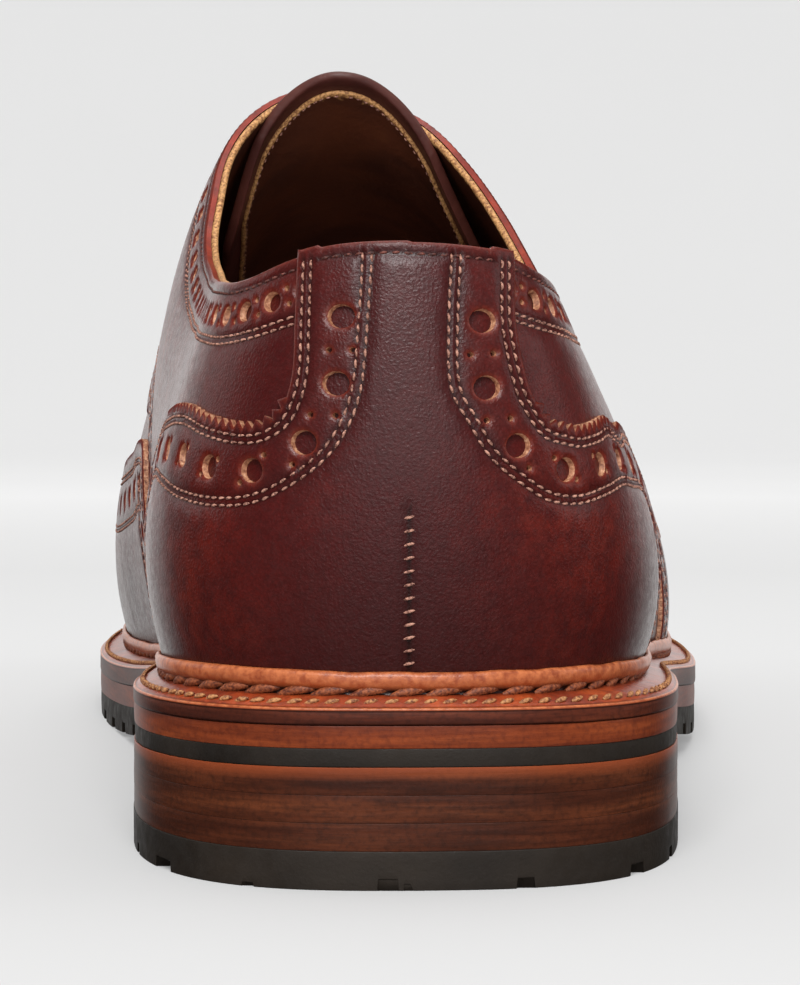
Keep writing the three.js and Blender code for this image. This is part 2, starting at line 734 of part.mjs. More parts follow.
add('insole', 'board', insole());
add('insole_rib', 'lining', insoleRib());
add('cork_filler', 'cork', corkFiller());
add('shank', 'steel', shank(0));
add('welt', 'welt', welt());
add('midsole', 'stack', midsole());
add('rubber_sole', 'rubber', rubberSole());
for (let i = 0; i < LIFT_COUNT; i += 1) add(`heel_lift_${i + 1}`, 'stack', nailedLift(i));
NAIL_SPOTS.forEach((spot, i) => add(`heel_nail_${i + 1}`, 'steel', nail(spot, 0)));
add('heel_top_lift', 'rubber', heelTopLift());
add('sock_liner', 'lining', sockLiner());
add('toe_cap', 'leather', toeCap());
add('vamp', 'leather', vamp());
add('heel_foxing', 'leather', heelFoxing());
add('toe_puff', 'board', toePuff());
add('heel_counter', 'board', heelCounter());
add('vamp_lining', 'lining', vampLining());
add('heel_grip', 'lining', heelGrip());
for (const inner of [true, false]) {
  const side = inner ? 'inner' : 'outer';
  add(`quarter_${side}`, 'leather', quarter(inner));
  add(`quarter_lining_${side}`, 'lining', quarterLining(inner));
  add(`facing_stay_${side}`, 'board', facingStay(inner));
  eyeletPlaces(inner).forEach((place, i) => add(`eyelet_${side}_${i + 1}`, 'brass', eyelet(place)));
}
add('tongue', 'leather', tongueLayer([-TONGUE.thick, 0], 0));
add('tongue_lining', 'lining',
  tongueLayer([-TONGUE.thick - GAP - TONGUE.lining, -TONGUE.thick - GAP], 0.04));

// Origin under the middle of the bounding box.
const box = new THREE.Box3().setFromObject(parts);
const centre = box.getCenter(new THREE.Vector3());
parts.position.set(-centre.x, -centre.y, -box.min.z);
parts.updateMatrixWorld(true);

export default shoe;
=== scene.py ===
"""The leather shoe's visual model: a right-foot, open-laced full brogue on a storm welt.

Lengths are in millimetres in the shoe's local frame until to_frame() turns them into metres in the
CAD frame.  Places on the upper are (u, v): u goes round the foot from the back of the heel (0) along
the inner side to the toe (10) and back (20), v goes from the feather line (0) up to the ridge (1).
"""
import math

import bmesh
import bpy
import numpy as np
from mathutils import Matrix, Vector
from mathutils.geometry import delaunay_2d_cdt
from mathutils.kdtree import KDTree


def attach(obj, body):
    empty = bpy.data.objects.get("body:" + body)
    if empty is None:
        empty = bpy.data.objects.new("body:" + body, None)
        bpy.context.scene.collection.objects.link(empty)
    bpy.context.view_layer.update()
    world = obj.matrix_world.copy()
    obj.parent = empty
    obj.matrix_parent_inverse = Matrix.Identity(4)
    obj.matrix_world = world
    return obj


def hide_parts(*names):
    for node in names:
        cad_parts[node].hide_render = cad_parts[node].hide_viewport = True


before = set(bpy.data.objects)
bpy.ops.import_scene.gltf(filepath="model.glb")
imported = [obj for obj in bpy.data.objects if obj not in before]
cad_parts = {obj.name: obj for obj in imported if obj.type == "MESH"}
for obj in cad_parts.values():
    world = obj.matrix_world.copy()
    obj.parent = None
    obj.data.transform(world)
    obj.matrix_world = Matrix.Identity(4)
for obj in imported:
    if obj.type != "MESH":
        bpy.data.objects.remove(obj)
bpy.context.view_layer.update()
rng = np.random.default_rng(7)

# ------------------------------------------------------------------ the last
OFFSET = np.array([0.19, -153.02, 0.0])
AROUND = 20
TOE = 10
COLUMNS = [
    [[0, 8], [0, -3, 52], [0, 6, 84], [0, 14, 108]],
    [[-17, 10], [-22, 4, 52], [-14, 12, 84], [-8, 20, 108]],
    [[-26.8, 27], [-35, 25, 50], [-20, 29, 78], [-10, 36, 110]],
    [[-28, 55], [-41, 55, 48], [-20, 58, 74], [-8, 62, 114]],
    [[-28.5, 85], [-43.5, 88, 50], [-25, 86, 88], [-4, 90, 121]],
    [[-30, 115], [-43, 118, 47], [-35.5, 114, 108], [-9, 105, 120]],
    [[-36, 147], [-49, 148, 45], [-35, 140, 97], [-9, 132, 101]],
    [[-44, 180], [-57, 180, 46], [-38, 168, 77], [-8, 165, 81]],
    [[-48, 215], [-58, 215, 44], [-28, 205, 60], [-7, 204, 63]],
    [[-41, 262], [-46, 266, 42], [-22, 246, 51], [-6, 236, 55]],
    [[-8, 307], [-8, 312, 38], [-7, 286, 47], [-6, 250, 52]],
    [[28, 276], [30, 282, 38], [10, 252, 50], [-6, 236, 55]],
    [[43, 238], [47, 240, 36], [14, 208, 59], [-7, 204, 63]],
    [[47, 200], [54, 200, 36], [20, 172, 74], [-8, 165, 81]],
    [[44, 165], [54, 165, 36], [18, 142, 94], [-9, 132, 101]],
    [[39, 130], [47, 132, 35], [7.5, 113, 106], [-9, 105, 120]],
    [[31.5, 98], [45.2, 98, 42], [13.5, 90, 81], [-4, 90, 121]],
    [[28.4, 62], [44.6, 62, 44], [12.5, 62, 68], [1, 66, 114]],
    [[25.8, 29], [36.8, 27, 46], [12, 31, 74], [2, 38, 110]],
    [[16, 11], [22, 4, 52], [12, 13, 82], [5, 20, 106]],
]
FEATHER_HEIGHT = np.array([[-10, 24.2], [40, 22.8], [75, 21.2], [110, 18.2], [150, 14.2], [185, 12.6],
                           [215, 12.6], [240, 13.4], [265, 15.2], [290, 18.2], [320, 23]])
TOPLINE_INNER = [[6, 78.9], [9, 78], [12, 76.4], [16, 74.6], [21, 73.9], [28, 74.2], [50, 75.2], [66, 76.1],
                 [76, 77.8], [86, 80.3], [95, 84.8], [102, 91.5], [110, 98], [116, 104], [123, 112]]
TOPLINE_OUTER = [[6, 78.9], [9, 77.8], [12.5, 76.7], [16, 75.3], [22, 74.2], [28, 73.5], [45, 72.8],
                 [62, 72.4], [76, 73.8], [86, 76.5], [95, 80.6], [102, 85], [110, 90.6], [116, 96.4],
                 [123, 106.4]]
PAST_COLLAR = [[126, 400]]
THROAT = 0.95
TOP = -1                     # in a pattern line, stands for the topline
CROWN = 0.74                 # above this v the two sides meet in a round crown
FULLNESS = 0.7               # how round the crown is
OPENING_END = (3.4, 5.0)     # u over which the crown begins, forward of the opening
NEAR_RIDGE = 0.97            # slopes are measured no higher than this v
STEP = 1e-3                  # the small change of u or v that slopes are measured over


def with_height(column):
    """A column of the last's net whose foot has its height filled in."""
    foot, *above = column
    return [[*foot, float(np.interp(foot[1], *FEATHER_HEIGHT.T))], *above]


NET = np.array([with_height(column) for column in COLUMNS])


def rails(u, v):
    """Points of the last: a uniform B-spline round the foot, a Bezier curve up the side."""
    u, v = np.broadcast_arrays(np.asarray(u, float) % AROUND, np.asarray(v, float))
    column = np.floor(u).astype(int)
    f = u - column
    around = np.stack([(1 - f) ** 3, 3 * f ** 3 - 6 * f ** 2 + 4, -3 * f ** 3 + 3 * f ** 2 + 3 * f + 1,
                       f ** 3], -1) / 6
    up = np.stack([(1 - v) ** 3, 3 * v * (1 - v) ** 2, 3 * v * v * (1 - v), v ** 3], -1)
    index = (column[..., None] - 1 + np.arange(4)) % AROUND
    return np.einsum("...i,...j,...ijc->...c", around, up, NET[index])


def unit(vectors):
    return vectors / np.maximum(np.linalg.norm(vectors, axis=-1, keepdims=True), 1e-12)


def ease(low, high, x):
    t = np.clip((np.asarray(x, float) - low) / (high - low), 0, 1)
    return t * t * (3 - 2 * t)


def last(u, v):
    """The last with its ridge rounded, forward of the opening, where the two sides share it."""
    u, v = np.broadcast_arrays(np.asarray(u, float), np.asarray(v, float))
    plain_points = rails(u, v)
    forward = ease(*OPENING_END, TOE - np.abs(u % AROUND - TOE))
    round_here = (forward > 0) & (v > CROWN)
    if not round_here.any():
        return plain_points
    at, up, share = u[round_here], v[round_here], forward[round_here][..., None]
    start, top = rails(at, CROWN), rails(at, 1.0)
    leave = (start - rails(at, CROWN - STEP)) / STEP * (1 - CROWN)
    arrive = unit(rails(-at, CROWN) - start) * np.linalg.norm(top - start, axis=-1, keepdims=True) * FULLNESS
    t = ((up - CROWN) / (1 - CROWN))[..., None]
    crown = ((2 * t ** 3 - 3 * t ** 2 + 1) * start + (t ** 3 - 2 * t ** 2 + t) * leave
             + (3 * t ** 2 - 2 * t ** 3) * top + (t ** 3 - t ** 2) * arrive)
    plain_points[round_here] += (crown - plain_points[round_here]) * share
    return plain_points


def slopes(u, v):
    """How the last moves per unit of u and of v."""
    u, v = np.asarray(u, float), np.asarray(v, float)
    along_u = (last(u + STEP, v) - last(u - STEP, v)) / (2 * STEP)
    along_v = (last(u, v + STEP) - last(u, v - STEP)) / (2 * STEP)
    return along_u, along_v


def one_normal(u, v):
    along_u, along_v = slopes(u, np.minimum(v, NEAR_RIDGE))
    return unit(np.cross(along_v, along_u))


def normal(u, v):
    """Outward from the last; the two sides share one normal along the ridge."""
    share = ease(0.8, 1.0, v)[..., None] / 2
    return unit(one_normal(u, v) * (1 - share) + one_normal(-np.asarray(u, float), v) * share)


def skin(uv, distance):
    """Points at a distance outside the last."""
    uv = np.asarray(uv, float)
    distance = np.broadcast_to(np.asarray(distance, float), uv.shape[:-1])
    return last(uv[..., 0], uv[..., 1]) + distance[..., None] * normal(uv[..., 0], uv[..., 1])


def feather(u):
    """The feather line and its outward direction in plan."""
    tangent = last(u + STEP, 0) - last(u - STEP, 0)
    outward = np.stack([-tangent[..., 1], tangent[..., 0], np.zeros(tangent.shape[:-1])], -1)
    return last(u, 0), unit(outward)


def spline(points, pieces=16):
    """A smooth curve through points (Catmull-Rom)."""
    p = np.asarray(points, float)
    p = np.vstack([2 * p[0] - p[1], p, 2 * p[-1] - p[-2]])
    t = np.linspace(0, 1, pieces, endpoint=False)[:, None]
    parts = []
    for i in range(1, len(p) - 2):
        a, b, c, d = p[i - 1:i + 3]
        parts.append(0.5 * (2 * b + (c - a) * t + (2 * a - 5 * b + 4 * c - d) * t ** 2
                            + (3 * b - a - 3 * c + d) * t ** 3))
    parts.append(p[-2][None])
    return np.vstack(parts)


SMOOTH_INNER = np.vstack([spline(TOPLINE_INNER), PAST_COLLAR])
SMOOTH_OUTER = np.vstack([spline(TOPLINE_OUTER), PAST_COLLAR])


def topline(u):
    """v of the topline, or of the facing edge where there is none."""
    u = np.atleast_1d(np.asarray(u, float))
    low = np.full(u.shape, 0.4)
    high = np.full(u.shape, THROAT)
    inner = (u % AROUND) <= TOE

    def above(v):
        p = last(u, v)
        z_inner = np.interp(p[:, 1], *SMOOTH_INNER.T)
        z_outer = np.interp(p[:, 1], *SMOOTH_OUTER.T)
        return p[:, 2] > np.where(inner, z_inner, z_outer)

    open_edge = ~above(high)
    for _ in range(24):
        middle = (low + high) / 2
        over = above(middle)
        high = np.where(over, middle, high)
        low = np.where(over, low, middle)
    return np.where(open_edge, THROAT, low)


# ------------------------------------------------------------------ lines on the last
def measure(path):
    """Length along a path on the outside of the upper."""
    points = skin(path, 4)
    return np.concatenate([[0], np.cumsum(np.linalg.norm(np.diff(points, axis=0), axis=1))])


def along(path, at):
    """The path's places at distances from its start."""
    length = measure(path)
    return np.stack([np.interp(at, length, path[:, k]) for k in (0, 1)], -1)


def even(path, step):
    """The path's places at about equal distances."""
    total = measure(path)[-1]
    count = max(2, int(round(total / step)) + 1)
    return along(path, np.linspace(0, total, count))


def uv_step(uv, move):
    """The change of (u, v) that moves a point of the last by the vector `move`."""
    a, b = slopes(uv[..., 0], np.minimum(uv[..., 1], NEAR_RIDGE))
    aa, ab, bb = (a * a).sum(-1), (a * b).sum(-1), (b * b).sum(-1)
    am, bm = (a * move).sum(-1), (b * move).sum(-1)
    det = aa * bb - ab * ab
    return np.stack([(am * bb - bm * ab) / det, (bm * aa - am * ab) / det], -1)


def beside(path, distance):
    """A path parallel to `path`, to its left as seen from outside the shoe."""
    path = np.asarray(path, float)
    tangent = unit(np.gradient(skin(path, 0), axis=0))
    left = np.cross(normal(path[:, 0], path[:, 1]), tangent)
    distance = np.broadcast_to(np.asarray(distance, float), (len(path),))
    return path + uv_step(path, left * distance[:, None])


def ring(centre, radius, count=20):
    """A round loop on the last."""
    centre = np.asarray(centre, float)
    a, b = slopes(centre[0], centre[1])
    a = unit(a)
    b = unit(b - (b * a).sum() * a)
    angle = 2 * np.pi * np.arange(count) / count
    move = radius * (np.cos(angle)[:, None] * a + np.sin(angle)[:, None] * b)
    return centre + uv_step(np.broadcast_to(centre, (count, 2)), move)


def side_by(path, distance):
    """A path parallel to another: to its left on the inner side, and the mirror of that on the outer side."""
    return beside(path, distance * (1 if path[:, 0].mean() > 0 else -1))


def gimp(path, depth, pitch=1.7):
    """A saw-toothed edge; the teeth stand to the same side as in side_by."""
    base = even(path, pitch / 2)
    teeth = np.arange(len(base)) % 2
    teeth[-1] = 0
    return side_by(base, teeth * depth)


def mirror(path):
    path = np.asarray(path, float)
    return np.stack([-path[:, 0], path[:, 1]], -1)


def line(points, side):
    """A smooth path on the inner (1) or outer (-1) side; a point with v = TOP stands on the topline."""
    path = np.array([(side * u, topline(side * u)[0] if v == TOP else v) for u, v in points])
    return spline(path)


# ------------------------------------------------------------------ meshes
def to_frame(points):
    return (np.asarray(points) + OFFSET) / 1000


def new_piece(name, points, faces, materials, body="shoe", slot="upper_leather", marks=None,
              face_material=None, weld=False):
    """A mesh object from points in millimetres; marks are per-point values for the material to read."""
    mesh = bpy.data.meshes.new(name)
    mesh.from_pydata(to_frame(points).tolist(), [], [list(map(int, f)) for f in faces])
    for material in materials:
        mesh.materials.append(material)
    if face_material is not None:
        mesh.polygons.foreach_set("material_index", np.asarray(face_material, np.int32))
    mesh.polygons.foreach_set("use_smooth", np.ones(len(mesh.polygons), bool))
    for key, values in (marks or {}).items():
        attribute = mesh.attributes.new(key, "FLOAT", "POINT")
        attribute.data.foreach_set("value", np.asarray(values, np.float32))
    if weld:
        shape = bmesh.new()
        shape.from_mesh(mesh)
        bmesh.ops.remove_doubles(shape, verts=shape.verts, dist=2e-6)
        shape.to_mesh(mesh)
        shape.free()
    mesh.validate()
    piece = bpy.data.objects.new(name, mesh)
    bpy.context.scene.collection.objects.link(piece)
    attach(piece, body)
    return piece


FLAT = np.array([30.0, 90.0])      # rough millimetres per unit of u and v, for spreading points


def inside(polygon, points):
    """Whether points lie inside a closed polygon."""
    x, y = points[:, 0], points[:, 1]
    result = np.zeros(len(points), bool)
    x0, y0 = polygon[:, 0], polygon[:, 1]
    x1, y1 = np.roll(x0, -1), np.roll(y0, -1)
    for a, b, c, d in zip(x0, y0, x1, y1):
        if b == d:
            continue
        crosses = (b > y) != (d > y)
        result ^= crosses & (x < (c - a) * (y - b) / (d - b) + a)
    return result


def near(points, targets, reach):
    """Whether each point has a target closer than reach."""
    if len(targets) == 0 or len(points) == 0:
        return np.zeros(len(points), bool)
    tree = KDTree(len(targets))
    for i, p in enumerate(targets):
        tree.insert((p[0], p[1], 0), i)
    tree.balance()
    return np.array([tree.find((p[0], p[1], 0))[2] < reach for p in points])


RIDGE = 0.9995               # places above this v are on the ridge
HOLE_TAPER = 0.92            # a punched hole's foot, as a share of its mouth
HOLE_SLANT = 0.007           # the foot lies this much of u nearer the heel's middle
EDGE_DROP = 0.28             # how far a cut edge is rounded down
EDGE_INSETS = [(0.22, 0.08, 0.5), (0.55, 0.0, 0.1)]             # inset, drop and wear beside a cut edge
GROOVE = [(0, 0.3, 1.0), (0.4, 0.05, 0.25), (-0.4, 0.05, 0.25)]   # a stitched groove: side, drop and painted shade
GROOVE_STEP = 0.75
LEATHER_FACE, PLAIN_EDGE, FOLDED_EDGE = 0, 1, 2                 # places in a cut piece's list of materials


class Pattern:
    """A flat pattern laid on the last: its places, each with its drop below the surface, painted shade in its
    grooves and wear.
    """

    def __init__(self, outline, holes):
        self.outline = np.asarray(outline, float)
        self.holes = [np.asarray(hole, float) for hole in holes]
        self.places, self.drop, self.crease, self.wear_and_highlight = [], [], [], []

    def put(self, places, drop=0.0, crease=0.0, wear_and_highlight=0.0):
        self.places.append(places)
        for kept, value in ((self.drop, drop), (self.crease, crease), (self.wear_and_highlight, wear_and_highlight)):
            kept.append(np.broadcast_to(value, len(places)).astype(float))

    def rims(self):
        """Puts the outline's and the holes' own places, and returns their edges."""
        edges, start = [], 0
        for loop in (self.outline, *self.holes):
            free = loop[:, 1] <= RIDGE
            self.put(loop, np.where(free, EDGE_DROP, 0), 0.0, np.where(free, 1.0, 0.0))
            edges += [(start + i, start + (i + 1) % len(loop)) for i in range(len(loop))]
            start += len(loop)
        return edges, start

    def rounding(self):
        """Puts places just inside the cut edges, where the leather rounds down to them."""
        for k, loop in enumerate((self.outline, *self.holes)):
            closed = np.vstack([loop[-1:], loop, loop[:1]])
            signed = np.sum(loop[:, 0] * np.roll(loop[:, 1], -1) - loop[:, 1] * np.roll(loop[:, 0], -1))
            # u runs to the left as seen from outside, so the sense of turning is reversed
            into = (-1 if signed > 0 else 1) * (1 if k == 0 else -1)
            free = loop[:, 1] < RIDGE - 0.01
            for inset, drop, wear_and_highlight in EDGE_INSETS:
                self.put(beside(closed, inset * into)[1:-1][free], drop, 0.0, wear_and_highlight)

    def grooves(self, paths):
        """Puts the lines that stitches press into the leather."""
        for path in paths:
            fine = even(path, GROOVE_STEP)
            for side, drop, crease in GROOVE:
                self.put(beside(fine, side) if side else fine, drop, crease)

    def fill(self, spacing):
        """Puts a staggered grid of places where there are none yet."""
        step = spacing / FLAT
        low, high = self.outline.min(0), self.outline.max(0)
        gu, gv = (np.arange(low[k] + step[k] / 2, high[k], step[k]) for k in (0, 1))
        grid = np.stack(np.meshgrid(gu, gv, indexing="ij"), -1).reshape(-1, 2)
        grid[:, 1] += 0.5 * step[1] * (np.round((grid[:, 0] - gu[0]) / step[0]) % 2)
        grid = grid[inside(self.outline, grid)]
        self.put(grid[~near(grid * FLAT, np.vstack(self.places) * FLAT, 0.55 * spacing)])

    def triangles(self, edges, own):
        """Joins the places into triangles; returns places, faces, marks and each place's first origin."""
        uv = np.vstack(self.places)
        keep = np.ones(len(uv), bool)
        keep[own:] = clear_of(self.outline, self.holes, uv[own:])
        marks = [np.concatenate(values)[keep] for values in (self.drop, self.crease, self.wear_and_highlight)]
        vectors = [Vector(place) for place in (uv[keep] * FLAT).tolist()]
        found, _, faces, origin, _, _ = delaunay_2d_cdt(vectors, edges, [], 0, 1e-5, True)
        uv = np.array([[place.x, place.y] for place in found]) / FLAT
        first = np.array([o[0] if len(o) else -1 for o in origin])
        marks = [np.where(first >= 0, values[first], 0.0) for values in marks]
        faces = np.array([face for face in faces if len(face) == 3])
        return uv, faces[clear_of(self.outline, self.holes, uv[faces].mean(1))], marks, first

    def feet(self, uv, first):
        """Where the foot of each cut edge stands: a punched hole narrows and slants inward."""
        middles = [np.broadcast_to(hole.mean(0), hole.shape) for hole in self.holes]
        centres = np.vstack([self.outline, *middles])
        known = np.clip(first, 0, len(centres) - 1)
        in_hole = (first >= len(self.outline)) & (first < len(centres))
        foot = centres[known] + (uv - centres[known]) * HOLE_TAPER
        foot[:, 0] -= HOLE_SLANT * np.sign(foot[:, 0])
        return np.where(in_hole[:, None], foot, uv)


def faced_out(faces, points, uv):
    """The triangles, each turned to face away from the last."""
    a, b, c = (points[faces[:, k]] for k in range(3))
    facing = (np.cross(b - a, c - a) * normal(uv[faces[:, 0], 0], uv[faces[:, 0], 1])).sum(-1)
    return np.where(facing[:, None] < 0, faces[:, ::-1], faces)


def open_edges(faces, uv):
    """The edges that only one triangle has, apart from those along the ridge."""
    have = {(int(p), int(q)) for f in faces for p, q in ((f[0], f[1]), (f[1], f[2]), (f[2], f[0]))}
    rim = np.array([edge for edge in have if (edge[1], edge[0]) not in have])
    return rim[(uv[rim, 1] < RIDGE).any(1)]


def mesh_cut(outline, holes=(), grooves=(), top=4.7, bottom=3.6, spacing=1.8, cut_edge=None, lift=None):
    """Points, faces, marks and face materials of one flat pattern laid on the last."""
    pattern = Pattern(outline, holes)
    edges, own = pattern.rims()
    pattern.rounding()
    pattern.grooves(grooves)
    pattern.fill(spacing)
    uv, faces, (drop, crease, wear_and_highlight), first = pattern.triangles(edges, own)
    height = top - drop + (lift(uv) if lift else 0)
    upper = skin(uv, height)
    faces = faced_out(faces, upper, uv)
    rim = open_edges(faces, uv)
    used, local = np.unique(rim, return_inverse=True)
    local = local.reshape(rim.shape)
    # the walls have their own upper points, for a crisp cut edge
    count, below = len(upper), len(upper) + len(used)
    walls = np.stack([count + local[:, 1], count + local[:, 0], below + local[:, 0], below + local[:, 1]], -1)
    feet = pattern.feet(uv[used], first[used])
    points = np.vstack([upper, skin(uv[used], height[used]), skin(feet, bottom)])
    none, full = np.zeros(len(used)), np.ones(len(used))
    marks = {"crease": np.concatenate([crease, none, none]), "wear_and_highlight": np.concatenate([wear_and_highlight, full, none])}
    kinds = np.full(len(walls), PLAIN_EDGE)
    if cut_edge is not None:
        kinds = np.where(cut_edge(uv[rim].mean(1)), PLAIN_EDGE, FOLDED_EDGE)
    return points, [*faces.tolist(), *walls.tolist()], marks, [LEATHER_FACE] * len(faces) + kinds.tolist()


def clear_of(outline, holes, uv):
    """Whether places are on the leather: inside the outline and in no hole."""
    ok = inside(outline, uv)
    for hole in holes:
        box_low, box_high = np.min(hole, 0), np.max(hole, 0)
        close = ((uv > box_low) & (uv < box_high)).all(1)
        index = np.nonzero(close)[0]
        ok[index[inside(np.asarray(hole), uv[index])]] = False
    return ok


def cut_piece(name, patterns, materials, **options):
    """A leather piece made of one or more flat patterns, joined where they meet along the ridge."""
    points, faces, kinds, marks, count = [], [], [], {"crease": [], "wear_and_highlight": []}, 0
    for pattern in patterns:
        p, f, m, k = mesh_cut(**pattern)
        points.append(p)
        faces += [[i + count for i in face] for face in f]
        kinds += k
        for key in marks:
            marks[key].append(m[key])
        count += len(p)
    marks = {key: np.concatenate(value) for key, value in marks.items()}
    return new_piece(name, np.vstack(points), faces, materials, marks=marks, face_material=kinds,
                     **options)


def capsules(places, ahead, outward, length, width, lean=0.0, arch=0.25):
    """Many small threads: places, their directions and the way out of the leather."""
    rings, around = 5, 6
    t = np.linspace(-1, 1, rings)
    swell = np.sqrt(np.clip(1 - 0.9 * t ** 2, 0.03, 1))
    angle = 2 * np.pi * np.arange(around) / around
    ahead = unit(ahead + lean * np.cross(outward, ahead))
    side = np.cross(outward, ahead)
    spine = (places[:, None] + ahead[:, None] * (t * length / 2)[None, :, None]
             - outward[:, None] * (arch * t ** 2)[None, :, None])
    spokes = side[:, None] * np.cos(angle)[None, :, None] + outward[:, None] * np.sin(angle)[None, :, None]
    points = spine[:, :, None] + (width / 2) * swell[None, :, None, None] * spokes[:, None]
    base = np.arange(len(places))[:, None] * rings * around
    faces = []
    for r in range(rings - 1):
        for k in range(around):
            near_side, far_side = r * around, (r + 1) * around
            after = (k + 1) % around
            corners = (near_side + k, near_side + after, far_side + after, far_side + k)
            faces.append(np.stack([base + corner for corner in corners], -1)[:, 0])
    return points.reshape(-1, 3), np.vstack(faces)


def join(parts):
    """Points and faces of several parts as one."""
    points, faces, count = [], [], 0
    for p, f in parts:
        points.append(p)
        faces.append(f + count)
        count += len(p)
    return np.vstack(points), np.vstack(faces)


STITCH = dict(length=1.15, width=0.38, lean=0.12)
STITCH_PITCH = 1.48
STITCH_WANDER = 0.05         # unevenness of the stitches' places


def stitched(paths, height, under=False):
    """Rows of stitches along paths on the upper; height is a number or a function of the places."""
    level = height if callable(height) else lambda places: height
    parts = []
    for path in paths:
        fine = even(path, 0.4)
        total = measure(fine)
        at = np.arange(STITCH_PITCH / 2, total[-1], STITCH_PITCH)
        at = at + rng.normal(0, STITCH_WANDER, len(at))
        uv = along(fine, at)
        tangent = unit(np.gradient(skin(fine, level(fine)), axis=0))
        direction = unit(np.stack([np.interp(at, total, tangent[:, k]) for k in range(3)], -1))
        out = normal(uv[:, 0], uv[:, 1]) * (-1 if under else 1)
        parts.append(capsules(skin(uv, level(uv)), direction, out, **STITCH))
    return join(parts)


def grid_faces(rows, columns, around=False):
    """Quads between the points of a grid, row by row; `around` also joins the last row to the first."""
    i = np.arange(rows if around else rows - 1)[:, None]
    j = np.arange(columns - 1)[None]
    here, after = i * columns + j, (i + 1) % rows * columns + j
    return np.stack([here, here + 1, after + 1, after], -1).reshape(-1, 4)


# ------------------------------------------------------------------ materials
class Paint:
    """A node material whose parts are added one after another."""

    def __init__(self, name, roughness=0.45, metallic=0.0, coat=0.0, coat_roughness=0.25, specular=0.5):
        self.material = bpy.data.materials.new(name)
        self.material.use_nodes = True
        self.tree = self.material.node_tree
        self.shader = self.tree.nodes["Principled BSDF"]
        self.shader.inputs["Roughness"].default_value = roughness
        self.shader.inputs["Metallic"].default_value = metallic
        self.shader.inputs["Coat Weight"].default_value = coat
        self.shader.inputs["Coat Roughness"].default_value = coat_roughness
        self.shader.inputs["Specular IOR Level"].default_value = specular
        self.place = self.node("ShaderNodeTexCoord").outputs["Object"]

    def node(self, kind, **values):
        node = self.tree.nodes.new(kind)
        for key, value in values.items():
            if hasattr(node, key):
                setattr(node, key, value)
            else:
                node.inputs[key].default_value = value
        return node

    def link(self, output, target):
        self.tree.links.new(output, target)

    def squeezed(self, scale):
        """The place, stretched along some axes, for fibres and layers."""
        mapping = self.node("ShaderNodeMapping")
        mapping.inputs["Scale"].default_value = scale
        self.link(self.place, mapping.inputs["Vector"])
        return mapping.outputs["Vector"]

    def noise(self, scale, detail=3, place=None):
        noise = self.node("ShaderNodeTexNoise", Scale=scale, Detail=detail, Roughness=0.55)
        self.link(place or self.place, noise.inputs["Vector"])
        return noise.outputs["Fac"]

    def cells(self, scale, feature="F1"):
        cells = self.node("ShaderNodeTexVoronoi", feature=feature, Scale=scale)
        self.link(self.place, cells.inputs["Vector"])
        return cells.outputs["Distance"]

    def ramp(self, value, stops):
        ramp = self.node("ShaderNodeValToRGB")
        elements = ramp.color_ramp.elements
        while len(elements) < len(stops):
            elements.new(0.5)
        for element, (position, colour) in zip(elements, stops):
            element.position = position
            element.color = (*srgb(colour), 1)
        self.link(value, ramp.inputs["Fac"])
        return ramp.outputs["Color"]

    def span(self, value, low, high, to_low=0.0, to_high=1.0):
        """A value carried from one range to another, held at its ends."""
        span = self.node("ShaderNodeMapRange")
        for key, number in (("From Min", low), ("From Max", high), ("To Min", to_low), ("To Max", to_high)):
            span.inputs[key].default_value = number
        self.link(value, span.inputs["Value"])
        return span.outputs["Result"]

    def mix(self, share, first, second):
        """Two colours mixed; a share of 1 gives the second."""
        mix = self.node("ShaderNodeMix", data_type="RGBA")
        for value, socket in ((share, mix.inputs[0]), (first, mix.inputs[6]), (second, mix.inputs[7])):
            if isinstance(value, (int, float)):
                socket.default_value = value
            elif isinstance(value, (tuple, list)):
                socket.default_value = (*srgb(value), 1)
            else:
                self.link(value, socket)
        return mix.outputs[2]

    def maths(self, operation, first, second):
        maths = self.node("ShaderNodeMath", operation=operation)
        for value, socket in ((first, maths.inputs[0]), (second, maths.inputs[1])):
            if isinstance(value, (int, float)):
                socket.default_value = value
            else:
                self.link(value, socket)
        return maths.outputs[0]

    def mark(self, name):
        return self.node("ShaderNodeAttribute", attribute_name=name).outputs["Fac"]

    def axis(self, which):
        split = self.node("ShaderNodeSeparateXYZ")
        self.link(self.place, split.inputs[0])
        return split.outputs[which]

    def colour(self, value):
        self.link(value, self.shader.inputs["Base Color"])

    def rough(self, value):
        self.link(value, self.shader.inputs["Roughness"])

    def bump(self, *layers):
        """Bumps of (height, strength, depth in metres), one on top of another."""
        below = None
        for height, strength, depth in layers:
            bump = self.node("ShaderNodeBump", Strength=strength, Distance=depth)
            self.link(height, bump.inputs["Height"])
            if below is not None:
                self.link(below, bump.inputs["Normal"])
            below = bump.outputs["Normal"]
        self.link(below, self.shader.inputs["Normal"])
        return self.material


def srgb(colour):
    """Linear colour from 0-255 sRGB."""
    return [c / 255 / 12.92 if c / 255 <= 0.04045 else ((c / 255 + 0.055) / 1.055) ** 2.4 for c in colour]


